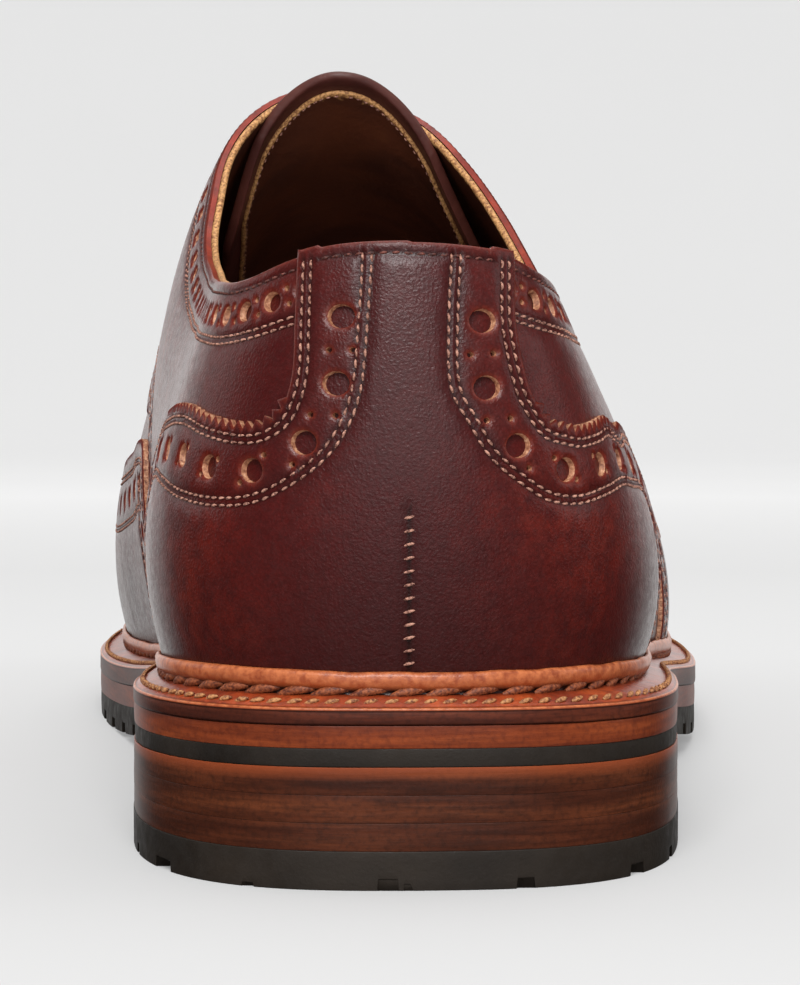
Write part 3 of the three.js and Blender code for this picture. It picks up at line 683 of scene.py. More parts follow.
def upper_leather():
    paint = Paint("burnished_leather", roughness=0.36, coat=0.08, coat_roughness=0.2, specular=0.36)
    cloud = paint.noise(38, 4)
    fine = paint.noise(420, 3)
    body = paint.ramp(cloud, [(0.3, (70, 6, 4)), (0.5, (94, 15, 6)), (0.72, (118, 29, 9))])
    body = paint.mix(paint.span(fine, 0.35, 0.7), body, (76, 14, 9))
    # painted sheen: a darker, dusty purple band down the middle of the heel
    heel = paint.span(paint.axis(1), -0.149, -0.118, 1.0, 0.0)
    middle = paint.span(paint.maths("ABSOLUTE", paint.axis(0), 0), 0.004, 0.028, 1.0, 0.0)
    body = paint.mix(paint.maths("MULTIPLY", paint.maths("MULTIPLY", heel, middle), 0.8), body, (62, 22, 24))
    # burnished darker at the toe
    toe = paint.span(paint.axis(1), 0.09, 0.15, 0.0, 0.7)
    body = paint.mix(toe, body, (46, 14, 12))
    # darker towards the bottom, along the welt
    low = paint.span(paint.axis(2), 0.026, 0.046, 0.6, 0.0)
    body = paint.mix(low, body, (50, 14, 12))
    # painted shade in the stitch grooves
    body = paint.mix(paint.maths("MULTIPLY", paint.mark("crease"), 0.8), body, (30, 8, 6))
    body = paint.mix(paint.maths("MULTIPLY", paint.mark("wear_and_highlight"), 0.4), body, (146, 52, 24))
    grain = paint.cells(2400, "SMOOTH_F1")
    body = paint.mix(paint.span(grain, 0.2, 0.6, 0.0, 0.3), body, (38, 8, 6))
    paint.colour(body)
    paint.rough(paint.span(paint.noise(900, 2), 0.3, 0.7, 0.31, 0.43))
    return paint.bump((paint.noise(60, 2), 0.03, 0.0003), (grain, 0.3, 0.00012),
                      (paint.noise(3000, 2), 0.7, 0.00013))


def raw_edge():
    paint = Paint("cut_edge", roughness=0.6)
    fibre = paint.noise(1800, 3)
    paint.colour(paint.ramp(fibre, [(0.3, (104, 54, 36)), (0.55, (176, 120, 88)), (0.75, (220, 174, 140))]))
    return paint.bump((fibre, 0.4, 0.0002))


def rim_leather():
    paint = Paint("folded_edge", roughness=0.4, coat=0.2)
    cloud = paint.noise(260, 3)
    paint.colour(paint.ramp(cloud, [(0.3, (104, 26, 12)), (0.6, (142, 42, 18)), (0.8, (168, 62, 28))]))
    return paint.bump((paint.noise(1600, 3), 0.3, 0.0002))


def lining_leather():
    paint = Paint("lining_leather", roughness=0.62)
    cloud = paint.noise(30, 5)
    streak = paint.noise(60, 4, paint.squeezed((1, 3, 0.35)))
    body = paint.ramp(cloud, [(0.3, (66, 30, 16)), (0.55, (92, 44, 22)), (0.75, (120, 66, 34))])
    body = paint.mix(paint.span(streak, 0.45, 0.62, 0.0, 0.5), body, (48, 20, 12))
    ragged = paint.maths("ADD", paint.mark("wear_and_highlight"), paint.span(paint.noise(900, 3), 0.35, 0.65, -0.45, 0.25))
    fleck = paint.ramp(paint.noise(2300, 2), [(0.35, (128, 80, 44)), (0.6, (206, 154, 98))])
    body = paint.mix(paint.span(ragged, 0.3, 0.7), body, fleck)
    paint.colour(body)
    pores = paint.cells(1300)
    return paint.bump((pores, 0.3, 0.00015), (paint.noise(700, 4), 0.35, 0.0002))


def tongue_leather():
    paint = Paint("tongue_leather", roughness=0.5)
    cloud = paint.noise(60, 4)
    paint.colour(paint.ramp(cloud, [(0.3, (66, 30, 26)), (0.55, (92, 46, 38)), (0.8, (120, 66, 54))]))
    grain = paint.cells(1200, "SMOOTH_F1")
    return paint.bump((paint.noise(260, 3), 0.3, 0.0004), (grain, 0.4, 0.00018))


def thread(name, dark, light):
    paint = Paint(name, roughness=0.62)
    twist = paint.noise(2600, 2)
    paint.colour(paint.ramp(twist, [(0.35, dark), (0.65, light)]))
    return paint.bump((twist, 0.5, 0.00015))


def welt_leather():
    paint = Paint("welt_leather", roughness=0.4, coat=0.1)
    cloud = paint.noise(90, 4)
    fibre = paint.noise(900, 4)
    body = paint.ramp(cloud, [(0.3, (116, 38, 12)), (0.5, (150, 56, 18)), (0.75, (178, 78, 30))])
    body = paint.mix(paint.span(fibre, 0.4, 0.65, 0.0, 0.5), body, (84, 26, 10))
    # painted shade in the welt's grooves, under its lip and along its foot
    body = paint.mix(paint.mark("crease"), body, (40, 13, 8))
    pale = paint.ramp(fibre, [(0.35, (142, 66, 32)), (0.6, (190, 106, 60))])
    body = paint.mix(paint.mark("wear_and_highlight"), body, pale)
    paint.colour(body)
    return paint.bump((fibre, 0.4, 0.0002), (paint.noise(2600, 2), 0.35, 0.00012))


def layered(name, stops, seam, streaks):
    """Pressed leather seen on edge: long fibres along the layers."""
    paint = Paint(name, roughness=0.46, coat=0.02, specular=0.2)
    cloud = paint.noise(26, 5, paint.squeezed((1, 1, 14)))
    fibre = paint.noise(190, 5, paint.squeezed((0.6, 0.6, 9)))
    body = paint.ramp(cloud, stops)
    body = paint.mix(paint.span(fibre, 0.42, 0.62, 0.0, 0.45), body, streaks)
    body = paint.mix(paint.span(paint.noise(1300, 3), 0.45, 0.7, 0.0, 0.5), body, streaks)
    body = paint.mix(paint.mark("crease"), body, seam)
    # paler where the wear_and_highlight mark is set: painted highlight along the heel stack's top edge, and a
    # paler top at the welt's edge
    body = paint.mix(paint.mark("wear_and_highlight"), body, (160, 72, 32))
    paint.colour(body)
    return paint.bump((fibre, 0.3, 0.0002), (paint.noise(2200, 2), 0.3, 0.0001))


def rubber():
    paint = Paint("sole_rubber", roughness=0.6, specular=0.3)
    cloud = paint.noise(70, 4)
    body = paint.ramp(cloud, [(0.3, (29, 23, 18)), (0.7, (42, 34, 27))])
    body = paint.mix(paint.mark("crease"), body, (22, 20, 19))
    paint.colour(body)
    paint.rough(paint.span(paint.noise(500, 3), 0.3, 0.7, 0.5, 0.72))
    return paint.bump((paint.noise(1800, 3), 0.35, 0.00015))


def brass():
    paint = Paint("antique_brass", roughness=0.34, metallic=1.0)
    paint.colour(paint.ramp(paint.noise(700, 3), [(0.3, (92, 66, 34)), (0.7, (150, 116, 66))]))
    return paint.bump((paint.noise(2500, 2), 0.2, 0.00008))


def plain(name, dark, light, scale, metallic=0.0, roughness=0.6):
    """Inner pieces that hardly show: board, cork, steel."""
    paint = Paint(name, roughness=roughness, metallic=metallic)
    grain = paint.noise(scale, 4)
    paint.colour(paint.ramp(grain, [(0.3, dark), (0.7, light)]))
    return paint.bump((grain, 0.3, 0.0002))


LEATHER = upper_leather()
RAW = raw_edge()
RIM = rim_leather()
LINING = lining_leather()
TONGUE_SKIN = tongue_leather()
THREAD = thread("linen_thread", (88, 48, 38), (190, 138, 118))
DARK_THREAD = thread("waxed_thread", (52, 22, 18), (118, 62, 50))
WELT_THREAD = thread("welt_thread", (104, 50, 26), (190, 134, 84))
BRAID = thread("braid_thread", (84, 32, 14), (152, 80, 42))
WELT = welt_leather()
MIDSOLE = layered("midsole_edge", [(0.3, (92, 35, 13)), (0.55, (120, 50, 18)), (0.75, (142, 66, 27))],
                  (40, 16, 10), (74, 24, 10))
STACK = layered("stack_edge", [(0.3, (54, 21, 9)), (0.5, (75, 33, 14)), (0.72, (97, 47, 21))],
                (30, 12, 7), (40, 17, 8))
WELT_EDGE = layered("welt_edge", [(0.3, (66, 26, 15)), (0.55, (90, 38, 20)), (0.75, (112, 52, 26))],
                    (30, 12, 9), (46, 18, 11))
RUBBER = rubber()
BRASS = brass()
STAY = plain("stay_cloth", (190, 176, 150), (214, 202, 178), 900)
COUNTER = plain("counter_board", (146, 112, 78), (180, 146, 108), 600)
CUT_LEATHER = [LEATHER, RAW, RIM]


# ------------------------------------------------------------------ the punched and stitched upper
COAT = (3.4, 4.7)            # wing cap and heel foxing: distances of their faces from the last
QUARTER = (2.6, 3.7)
VAMP = (2.3, 2.9)
BACKING = 2.55
LINING_FACES = (1.35, 2.5)
HOLE_RADIUS = 1.47
HOLE_PITCH = 8.3
ROW_GAP = 0.9
MARGIN = 1.3                 # from a gimped edge to its row of stitches
TEETH = 0.95
LOW_EDGE = 0.004             # v of the edges hidden in the welt
SIDES = {"inner": 1, "outer": -1}

WAVES = unit(rng.normal(0, 1, (10, 3))) * (2 * np.pi / rng.uniform(9, 45, 10))[:, None]
PHASES = rng.uniform(0, 2 * np.pi, 10)


def relief(uv):
    """Slight unevenness of stretched leather."""
    return 0.011 * np.sin(last(uv[:, 0], uv[:, 1]) @ WAVES.T + PHASES).sum(1)


def below_collar(uv):
    return uv[:, 1] < topline(uv[:, 0]) - 0.03


def on_skin(paths):
    """The parts of paths that are on the upper."""
    kept = [path[(path[:, 1] < 0.995) & (path[:, 1] > 0.03)] for path in paths]
    return [path for path in kept if len(path) > 3]


def two_rows(path):
    return [side_by(path, ROW_GAP / 2), side_by(path, -ROW_GAP / 2)]


def punched(path, pitch=HOLE_PITCH, radius=HOLE_RADIUS, pin=0.36, pins=1.25, first=0.0):
    """Round holes along a path, with a pair of pinholes across the path between each two."""
    length = measure(path)[-1]
    at = np.arange(first, length - 0.4 * pitch, pitch)
    loops = [ring(place, radius) for place in along(path, at)]
    for side in (pins, -pins):
        loops += [ring(place, pin, 8) for place in along(side_by(path, side), at[:-1] + pitch / 2)]
    return loops


# Each side's lines: two rows of stitches along the foxing's arm, and the holes between them.
FRONT_FOOT = [(2.4, 0.325), (2.62, 0.27), (2.74, 0.15), (2.82, 0.03)]
FRONT_EDGE = [(2.1, 0.40), (2.45, 0.385), (2.75, 0.30), (2.88, 0.15), (2.94, 0.03)]
FRONT_HOLES = [(2.1, 0.36), (2.4, 0.355), (2.62, 0.30), (2.78, 0.18), (2.85, 0.07)]
OUTER_FRONT = 0.22           # u by which the foxing is shorter on the outer side


def nearer(points):
    """The foxing's front moved nearer the heel, less at its top, for the outer side."""
    return [(u - OUTER_FRONT * min(1, (u - 2) / 0.5), v) for u, v in points]


FOXING = {
    1: {"low": [(0.27, TOP), (0.285, 0.52), (0.32, 0.42), (0.44, 0.355), (0.65, 0.31), (0.95, 0.278),
                (1.3, 0.275), (1.7, 0.29), (2.1, 0.315), *FRONT_FOOT],
        "high": [(0.70, TOP), (0.67, 0.52), (0.66, 0.44), (0.74, 0.385), (0.92, 0.36), (1.15, 0.36),
                 (1.45, 0.375), (1.75, 0.395), *FRONT_EDGE],
        "holes": [(0.44, 0.58), (0.43, 0.523), (0.44, 0.435), (0.62, 0.355), (0.93, 0.318), (1.2, 0.316),
                  (1.5, 0.333), (1.8, 0.350), *FRONT_HOLES]},
    -1: {"low": [(0.34, TOP), (0.29, 0.531), (0.28, 0.435), (0.39, 0.383), (0.53, 0.335), (0.78, 0.295),
                 (0.94, 0.283), (1.14, 0.285), (1.44, 0.305), (1.68, 0.323), (1.92, 0.327),
                 *nearer(FRONT_FOOT)],
         "high": [(0.73, TOP), (0.66, 0.535), (0.67, 0.479), (0.70, 0.439), (0.74, 0.413), (0.87, 0.373),
                  (1.05, 0.365), (1.19, 0.365), (1.42, 0.379), (1.61, 0.393), (1.84, 0.385),
                  *nearer(FRONT_EDGE)],
         "holes": [(0.49, 0.58), (0.49, 0.529), (0.47, 0.449), (0.59, 0.373), (0.86, 0.327), (1.12, 0.327),
                   (1.37, 0.339), (1.59, 0.355), *nearer(FRONT_HOLES)]},
}
ARM_BEND = 0.415             # above this v the arm's front edge is plain
FOXING_FRONT = 2.3           # and past this u too
PANEL = 0.60                 # the arm's corner stands above the collar past this u
DART = (0.264, 0.045)        # v of the ends of the seam down the heel's middle
DART_PITCH = 1.65
DART_STITCH = dict(length=1.6, width=0.4, lean=0.25, arch=0.1)
COLLAR_ROW = 0.62            # u to which the row along the heel's top runs
SUNK, SUNK_DARK = 0.1, 0.14  # how deep stitches and dark stitches lie in their grooves


def foxing_side(side):
    """The foxing's edge from the heel's middle along the collar and the arm to the foot of its front."""
    edge = side_by(line(FOXING[side]["high"], side), -MARGIN)
    edge = edge[edge[:, 1] > 0.012]
    bend = np.argmax(edge[:, 1] < ARM_BEND)
    front = np.argmax(np.abs(edge[:, 0]) > FOXING_FRONT)
    tab = even(edge[:bend + 1], 0.8)
    teeth = gimp(edge[bend:front + 1], -TEETH)
    foot = even(edge[front:], 1.0)
    us = side * np.arange(0, abs(tab[0, 0]) - 0.02, 0.03)
    collar = np.stack([us, topline(us) + np.where(np.abs(us) > PANEL, 0.004, 0.0)], -1)
    tab[0, 1] = collar[-1, 1]
    return np.vstack([collar, tab, teeth[1:], foot[1:]])


def low_edge(start, end, count):
    """Places along the foot of a piece, hidden in the welt."""
    return np.stack([np.linspace(start, end, count), np.full(count, LOW_EDGE)], -1)


def heel_foxing():
    inner, outer = foxing_side(1), foxing_side(-1)
    outline = np.vstack([inner, low_edge(inner[-1, 0], outer[-1, 0], 170), outer[:0:-1]])
    holes, rows = [], []
    for side in SIDES.values():
        lines = FOXING[side]
        holes += punched(line(lines["holes"], side), first=5.2)
        rows += two_rows(line(lines["low"], side)) + two_rows(line(lines["high"], side))
    rows = on_skin([row[measure(row) > 0.8] for row in rows])
    dart = np.stack([np.zeros(30), np.linspace(*DART, 30)], -1)
    us = np.linspace(-COLLAR_ROW, COLLAR_ROW, 40)
    collar_row = np.stack([us, topline(us) - 0.017], -1)
    pattern = dict(outline=outline, holes=holes, grooves=[*rows, dart, collar_row],
                   top=COAT[1], bottom=COAT[0], lift=relief, cut_edge=below_collar)
    piece = cut_piece("heel_foxing_leather", [pattern], CUT_LEATHER)
    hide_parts("heel_foxing")
    spots = along(dart, np.arange(0.8, measure(dart)[-1], DART_PITCH))
    across = unit(slopes(spots[:, 0], spots[:, 1])[0])
    crossing = capsules(skin(spots, COAT[1] - 0.06), across, normal(spots[:, 0], spots[:, 1]), **DART_STITCH)
    points, faces = join([stitched(rows, COAT[1] - SUNK), crossing])
    new_piece("heel_foxing_stitches", points, faces, [THREAD])
    new_piece("heel_collar_stitches", *stitched([collar_row], COAT[1] - SUNK_DARK), [DARK_THREAD])


QUARTER_FRONT = [(5.42, 0.25), (5.46, 0.34), (5.62, 0.385), (5.95, 0.415), (6.25, 0.52), (6.6, 0.68),
                 (7.0, 0.84), (7.3, 0.905), (7.42, 0.95)]
QUARTER_ENDS = [[5.41, 0.17], [5.40, 0.08]]      # down from the front's foot to the welt
BAND_MIDDLE, BAND_FOOT = 4.4, 7.7    # below the collar: its row of holes, and the stitches under them
FRONT_ROW, BAND_HOLES, BACK_ROW = -2.6, -6.4, -10.2          # from the front edge, back over the leather
COLLAR_HOLES = dict(pitch=5.6, radius=1.3, pins=1.0, first=2.0)
STAY_ROW = 15.0              # the row of stitches round the facing's stay
RIM_ROW = 1.5                # and the row beside the topline
COLLAR_FROM = 0.7            # the collar's band of holes starts at the foxing
FACING_FROM = 5.2
EYELET_US = [5.66 + 0.29 * i for i in range(5)]
EYELET_V = THROAT - 0.1
EYELET = dict(bore=1.9, flange=3.3, hole=2.7)


def below_top(low, high, side, distance):
    """A line below the topline, or inside the facing's edge, between two places round the shoe."""
    us = side * np.arange(low, high, 0.05)
    return side_by(np.stack([us, topline(us)], -1), distance)


def quarter_outline(front, side):
    us = side * np.arange(0, 7.4, 0.04)
    low_us = side * np.append(np.arange(5.40, 0, -0.06), 0)
    foot = np.stack([low_us, np.full(len(low_us), LOW_EDGE)], -1)
    return np.vstack([np.stack([us, topline(us)], -1), gimp(front, TEETH)[::-1],
                      np.array(QUARTER_ENDS) * [side, 1], foot])


def quarter(name, side):
    front = line(QUARTER_FRONT, side)
    holes = punched(below_top(COLLAR_FROM, FACING_FROM, side, BAND_MIDDLE), **COLLAR_HOLES)
    holes += punched(side_by(front, BAND_HOLES)[4:-6], first=3)
    holes += [ring((side * u, EYELET_V), EYELET["hole"]) for u in EYELET_US]
    rows = two_rows(below_top(COLLAR_FROM, FACING_FROM, side, BAND_FOOT))
    rows += two_rows(side_by(front, FRONT_ROW)[3:-3]) + two_rows(side_by(front, BACK_ROW)[6:-8])
    rows = on_skin([*rows, below_top(5.45, 6.8, side, STAY_ROW)])
    edge_rows = on_skin([below_top(COLLAR_FROM, 7.25, side, RIM_ROW)])
    pattern = dict(outline=quarter_outline(front, side), holes=holes, grooves=[*rows, *edge_rows],
                   top=QUARTER[1], bottom=QUARTER[0], lift=relief, cut_edge=below_collar)
    piece = cut_piece(f"quarter_{name}_leather", [pattern], CUT_LEATHER)
    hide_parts(f"quarter_{name}")
    new_piece(f"quarter_{name}_stitches", *stitched(rows, QUARTER[1] - SUNK), [THREAD])
    new_piece(f"quarter_{name}_edge_stitches", *stitched(edge_rows, QUARTER[1] - SUNK_DARK), [DARK_THREAD])


WING_EDGE = [(5.2, 0.02), (5.3, 0.16), (5.36, 0.27), (5.45, 0.325), (5.86, 0.345), (6.2, 0.34),
             (7.2, 0.365), (7.9, 0.45), (8.3, 0.57), (8.58, 0.72), (8.62, 0.86), (8.38, 1.0)]
MEDALLION = (10, 0.70)


def over_toe(path):
    return np.stack([AROUND - path[:, 0], path[:, 1]], -1)


def both_sides(half):
    """An outline over the toe, from its inner half: up the rear edge to the ridge; the ridge is shared."""
    ridge = np.stack([np.linspace(half[-1, 0], TOE, 40)[1:], np.ones(39)], -1)
    up = np.vstack([half, ridge])
    outer = over_toe(up)[::-1]
    return np.vstack([up, outer[1:], low_edge(outer[-1, 0], half[0, 0], 260)[1:-1]])


def medallion():
    """A generic rosette of punched holes on the toe."""
    loops = [ring(MEDALLION, 1.9)]
    for radius, count, size in ((5.2, 6, 1.05), (9.6, 12, 0.8)):
        loops += [ring(place, size, 12) for place in ring(MEDALLION, radius, count)]
    return loops


def wing_cap():
    edge = line(WING_EDGE, 1)
    teeth = gimp(edge, -TEETH)
    teeth[:-1, 1] = np.minimum(teeth[:-1, 1], 0.998)
    rows, holes = [], medallion()
    inner_rows = two_rows(side_by(edge, -FRONT_ROW)) + two_rows(side_by(edge, -BACK_ROW))
    for row in on_skin(inner_rows):
        rows += [row, over_toe(row)]
    band = on_skin([side_by(edge, -BAND_HOLES)])[0]
    for hole in punched(band, first=4):
        holes += [hole, over_toe(hole)]
    holes = [hole for hole in holes if hole[:, 1].max() < 0.985]
    pattern = dict(outline=both_sides(teeth), holes=holes, grooves=rows, top=COAT[1], bottom=COAT[0],
                   lift=relief, spacing=2.2)
    piece = cut_piece("wing_cap_leather", [pattern], CUT_LEATHER, weld=True)
    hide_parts("toe_cap")
    new_piece("wing_cap_stitches", *stitched(rows, COAT[1] - 0.08), [THREAD])


VAMP_BACK = [(5.15, 0.02), (5.15, 0.30), (5.3, 0.42), (5.6, 0.47), (5.95, 0.52), (6.2, 0.62), (6.55, 0.8),
             (6.95, 0.93), (7.25, 1.0)]


def vamp():
    half = even(line(VAMP_BACK, 1), 1.5)
    half[-1, 1] = 1
    pattern = dict(outline=both_sides(half), top=VAMP[1], bottom=VAMP[0], spacing=2.4, lift=relief)
    piece = cut_piece("vamp_leather", [pattern], CUT_LEATHER, weld=True)
    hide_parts("vamp")


# ------------------------------------------------------------------ linings and tongue
def spread(count, start=0.02, end=0.02):
    """Shares from 0 to 1, closer together near both ends."""
    near_end = np.array([0, 0.08, 0.3, 0.6])
    return np.concatenate([start * near_end, np.linspace(start, 1 - end, count), 1 - end * near_end[::-1]])


WORN = 1.6                   # how far from an edge a lining is worn


def soft_slab(name, uv, low, high, radius, materials, **options):
    """A layer over a grid of places, with rounded edges; low and high are its faces' distances."""
    rows, columns = uv.shape[:2]
    low, high = (np.broadcast_to(np.asarray(d, float), (rows, columns)) for d in (low, high))
    middle, half = (low + high) / 2, (high - low) / 2
    flat = skin(uv, middle)
    reach = np.full((rows, columns), np.inf)
    for axis in (0, 1):
        gaps = np.linalg.norm(np.diff(flat, axis=axis), axis=-1)
        run = np.cumsum(gaps, axis=axis)
        run = np.concatenate([np.zeros_like(run.take([0], axis)), run], axis)
        reach = np.minimum(reach, np.minimum(run, run.take([-1], axis) - run))
    rounding = np.sqrt(1 - (1 - np.minimum(reach / radius, 1)) ** 2)
    upper, lower = skin(uv, middle + half * rounding), skin(uv, middle - half * rounding)
    faces = grid_faces(rows, columns)
    count = rows * columns
    wear_and_highlight = np.clip(1.2 - reach / WORN, 0, 1).ravel()
    points = np.vstack([upper.reshape(-1, 3), lower.reshape(-1, 3)])
    faces = [*faces.tolist(), *(faces[:, ::-1] + count).tolist()]
    return new_piece(name, points, faces, materials, marks={"wear_and_highlight": np.concatenate([wear_and_highlight, wear_and_highlight])}, weld=True,
                     **options)


def lining_grid(us, high):
    """Places from the feather line up to v = high."""
    v = high[:, None] * spread(44, 0.004, 0.03)[None]
    return np.stack([np.broadcast_to(us[:, None], v.shape), v], -1)


STIFFENER = (1.6, 2.3)       # boards and cloth lie inside the lining's thickness
COUNTER_REACH = 3.8          # u to which the heel counter runs on both sides
COUNTER_HEIGHT = 0.42        # and v to which it stands
GRIP = 0.62                  # half width of the heel grip in u
LINING_FRONT = 7.3


def linings():
    for name, side in SIDES.items():
        us = side * (GRIP + 0.012 + (LINING_FRONT - GRIP) * spread(150, 0.004, 0.004))
        grid = lining_grid(us, topline(us) + 0.004)
        lining = soft_slab(f"quarter_lining_{name}_leather", grid, *LINING_FACES, 0.7, [LINING],
                           slot="lining_leather")
        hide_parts(f"quarter_lining_{name}")
        backing(name, side)
        facing_stay(name, side)
    heel_counter()
    us = -GRIP + 2 * GRIP * spread(40)
    grip = soft_slab("heel_grip_leather", lining_grid(us, topline(us) + 0.004), *LINING_FACES, 0.7, [LINING],
                     slot="lining_leather")
    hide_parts("heel_grip")
    us = np.linspace(LINING_FRONT + 0.05, TOE, 70)
    grid = arch_grid(us, np.zeros(len(us)), np.linspace(0, 1, 60))
    piece = soft_slab("vamp_lining_leather", grid, 0.0, 1.8, 1.0, [LINING], slot="lining_leather")
    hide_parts("vamp_lining")


def band_grid(us, top, drops):
    """Places that lie below a line by the given drops of v."""
    return np.stack([np.broadcast_to(us[:, None], (len(us), len(drops))), top[:, None] - drops[None]], -1)


def backing(name, side):
    """Leather behind the punched bands, which their holes show."""
    us = side * np.linspace(0.5, 7.2, 200)
    top = topline(us) - 0.012
    grid = band_grid(us, top, np.linspace(0.3, 0, 16))
    soft_slab(f"quarter_{name}_backing", grid, BACKING - 0.3, BACKING, 0.3, [LEATHER])


def facing_stay(name, side):
    """Cloth behind the eyelets."""
    us = side * np.linspace(5.35, 6.95, 60)
    grid = band_grid(us, topline(us), np.linspace(0.17, 0.03, 12))
    stay = soft_slab(f"facing_stay_{name}_cloth", grid, *STIFFENER, 0.25, [STAY], slot="leather_board")
    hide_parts(f"facing_stay_{name}")


def heel_counter():
    """The board that holds the heel's shape, lower at its ends."""
    us = np.linspace(-COUNTER_REACH, COUNTER_REACH, 90)
    height = COUNTER_HEIGHT * (1 - 0.35 * ease(2.4, COUNTER_REACH, np.abs(us)))
    counter = soft_slab("heel_counter_board", lining_grid(us, height), *STIFFENER, 0.25, [COUNTER],
                        slot="leather_board")
    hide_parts("heel_counter")


def arch_grid(us, edge, shares):
    """Places from the inner edge over the ridge to the outer edge; edge is v at the two edges."""
    across = 2 * shares - 1
    v = 1 - np.abs(across)[None] * (1 - edge[:, None])
    u = np.where(across[None] <= 0, us[:, None], -us[:, None])
    return np.stack([np.broadcast_to(u, v.shape), v], -1)


TONGUE = dict(base=7.45, tip=5.3, edge=0.64, round=0.3, taper=6.7, seam=0.88, thick=1.6, sink=0.5, tuck=1.2,
              shoulder=2.6)
TONGUE_LINING = dict(trim=0.11, edge_trim=0.055, thick=0.75)


def tongue_edge(us, trim):
    """v of the tongue's side edge: its tip is round and its base narrow."""
    edge = TONGUE["edge"] + trim
    start, end = TONGUE["tip"] - TONGUE["round"], TONGUE["tip"] + TONGUE["round"]
    tip = THROAT + (edge - THROAT) * ease(start, end, us)
    base = edge + (TONGUE["seam"] - edge) * ease(TONGUE["taper"], TONGUE["base"], us)
    return np.maximum(tip, base)


def sink(uv):
    """How far the tongue lies inside the last; its free end has wider shoulders."""
    side = np.clip((1 - uv[..., 1]) / (1 - TONGUE["edge"]), 0, 1)
    free = 1 - ease(TONGUE["tip"] - 0.05, TONGUE["tip"] + 0.6, np.abs(uv[..., 0]))
    swell = 0.2 * (1 - side) + 0.8 * np.sin(np.pi * side ** 0.85) ** 2
    return TONGUE["sink"] + TONGUE["tuck"] * side ** 2 - TONGUE["shoulder"] * free * swell


def tongue():
    us = TONGUE["tip"] + (TONGUE["base"] - TONGUE["tip"]) * spread(70)
    grid = arch_grid(us, tongue_edge(us, 0), spread(61))
    top = -sink(grid)
    piece = soft_slab("tongue_leather", grid, top - TONGUE["thick"], top, 0.9, [TONGUE_SKIN], body="tongue")
    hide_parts("tongue")
    start = TONGUE["tip"] + TONGUE_LINING["trim"]
    us = start + (TONGUE["base"] - 0.03 - start) * spread(60)
    edge = tongue_edge(us - 0.6 * TONGUE_LINING["trim"], TONGUE_LINING["edge_trim"])
    grid = arch_grid(us, edge, spread(55))
    top = -sink(grid) - TONGUE["thick"] + 0.1
    piece = soft_slab("tongue_lining_leather", grid, top - TONGUE_LINING["thick"], top, 0.5, [LINING],
                      body="tongue", slot="lining_leather")
    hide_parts("tongue_lining")
    tongue_seam(us, edge)


def tongue_seam(us, edge):
    """Stitches round the lining's edge, on the tongue's underside."""
    side = np.stack([us, edge + 0.012], -1)[us < TONGUE["taper"]]
    rim = np.stack([np.full(30, us[0] + 0.03), 1 - np.linspace(0, 1, 30) * (1 - side[0, 1])], -1)
    path = np.vstack([rim, side[side[:, 0] > us[0] + 0.04]])
    path = path[path[:, 1] < RIDGE]

    def underside(uv):
        return -sink(uv) - TONGUE["thick"] - TONGUE_LINING["thick"] + 0.1

    points, faces = stitched([path, mirror(path)], underside, under=True)
    new_piece("tongue_stitches", points, faces, [THREAD], body="tongue", slot="lining_leather")


def turned(profile, centre, direction, segments=28):
    """Points and faces of a closed profile (radius, height) turned about a line."""
    a = unit(np.cross([0.0, 0.0, 1.0], direction))
    b = np.cross(direction, a)
    angle = 2 * np.pi * np.arange(segments) / segments
    spoke = np.cos(angle)[:, None] * a + np.sin(angle)[:, None] * b
    profile = np.array([*profile, profile[0]])
    points = centre + spoke[:, None] * profile[None, :, :1] + direction * profile[None, :, 1:]
    return points.reshape(-1, 3), grid_faces(segments, len(profile), around=True)


def eyelets():
    """Rolled brass rings set in the facings; no lace is in them."""
    bore, flange = EYELET["bore"], EYELET["flange"]
    barrel, seat, crown = LINING_FACES[1] - 0.4, QUARTER[1] - 0.1, QUARTER[1] + 0.45
    profile = [(bore, barrel), (bore, seat), (bore + 0.08, crown - 0.25), (bore + 0.3, crown - 0.05),
               (bore + 0.6, crown), (flange - 0.5, crown - 0.15), (flange - 0.15, crown - 0.4),
               (flange, seat), (bore + 0.6, seat), (bore + 0.6, barrel)]
    for name, side in SIDES.items():
        for i, u in enumerate(EYELET_US):
            place = np.array([side * u, EYELET_V])
            points, faces = turned(profile, skin(place, 0), normal(*place))
            piece = new_piece(f"eyelet_{name}_{i + 1}_ring", points, faces, [BRASS], slot="eyelet_brass",
                              weld=True)
            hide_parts(f"eyelet_{name}_{i + 1}")


# ------------------------------------------------------------------ the bottom
WELT_DROP = 1.3
WELT_LAYER = (2.2, 3.4)      # thickness at the heel and at the forepart
MIDSOLE_LAYER = (2.8, 3.7)
RUBBER_LAYER = (2.3, 4.9)
FLANGE = (8.4, 11.0)
LIP_RISE = 4.1
HEEL_FLARE = {1: 1.4, -1: 2.4}       # how much further the heel stands out on each side
HEEL_CORNER = (1.0, 1.5, 0.65)       # and its back corner on the outer side: size, place and width in u
TOP_LIFT = 4.8
BREAST_Y = 72.0
LIFTS = 3


def layer(limits, y, start=40):
    """A thickness or width that grows from the heel to the forepart."""
    return limits[0] + (limits[1] - limits[0]) * ease(start, 150, y)


def heights(u):
    """Heights of the sole's layers at places of the feather line."""
    p = last(u, 0)
    welt_top = p[..., 2] - WELT_DROP
    welt_bottom = welt_top - layer(WELT_LAYER, p[..., 1])
    midsole_bottom = welt_bottom - layer(MIDSOLE_LAYER, p[..., 1])
    rubber_bottom = np.maximum(midsole_bottom - layer(RUBBER_LAYER, p[..., 1]), 0)
    return welt_top, welt_bottom, midsole_bottom, rubber_bottom


WANDER = [(1, 1, 1), (0.6, 1.7, 2.1), (0.4, 3.1, 1)]       # waves: size, how often, how shifted


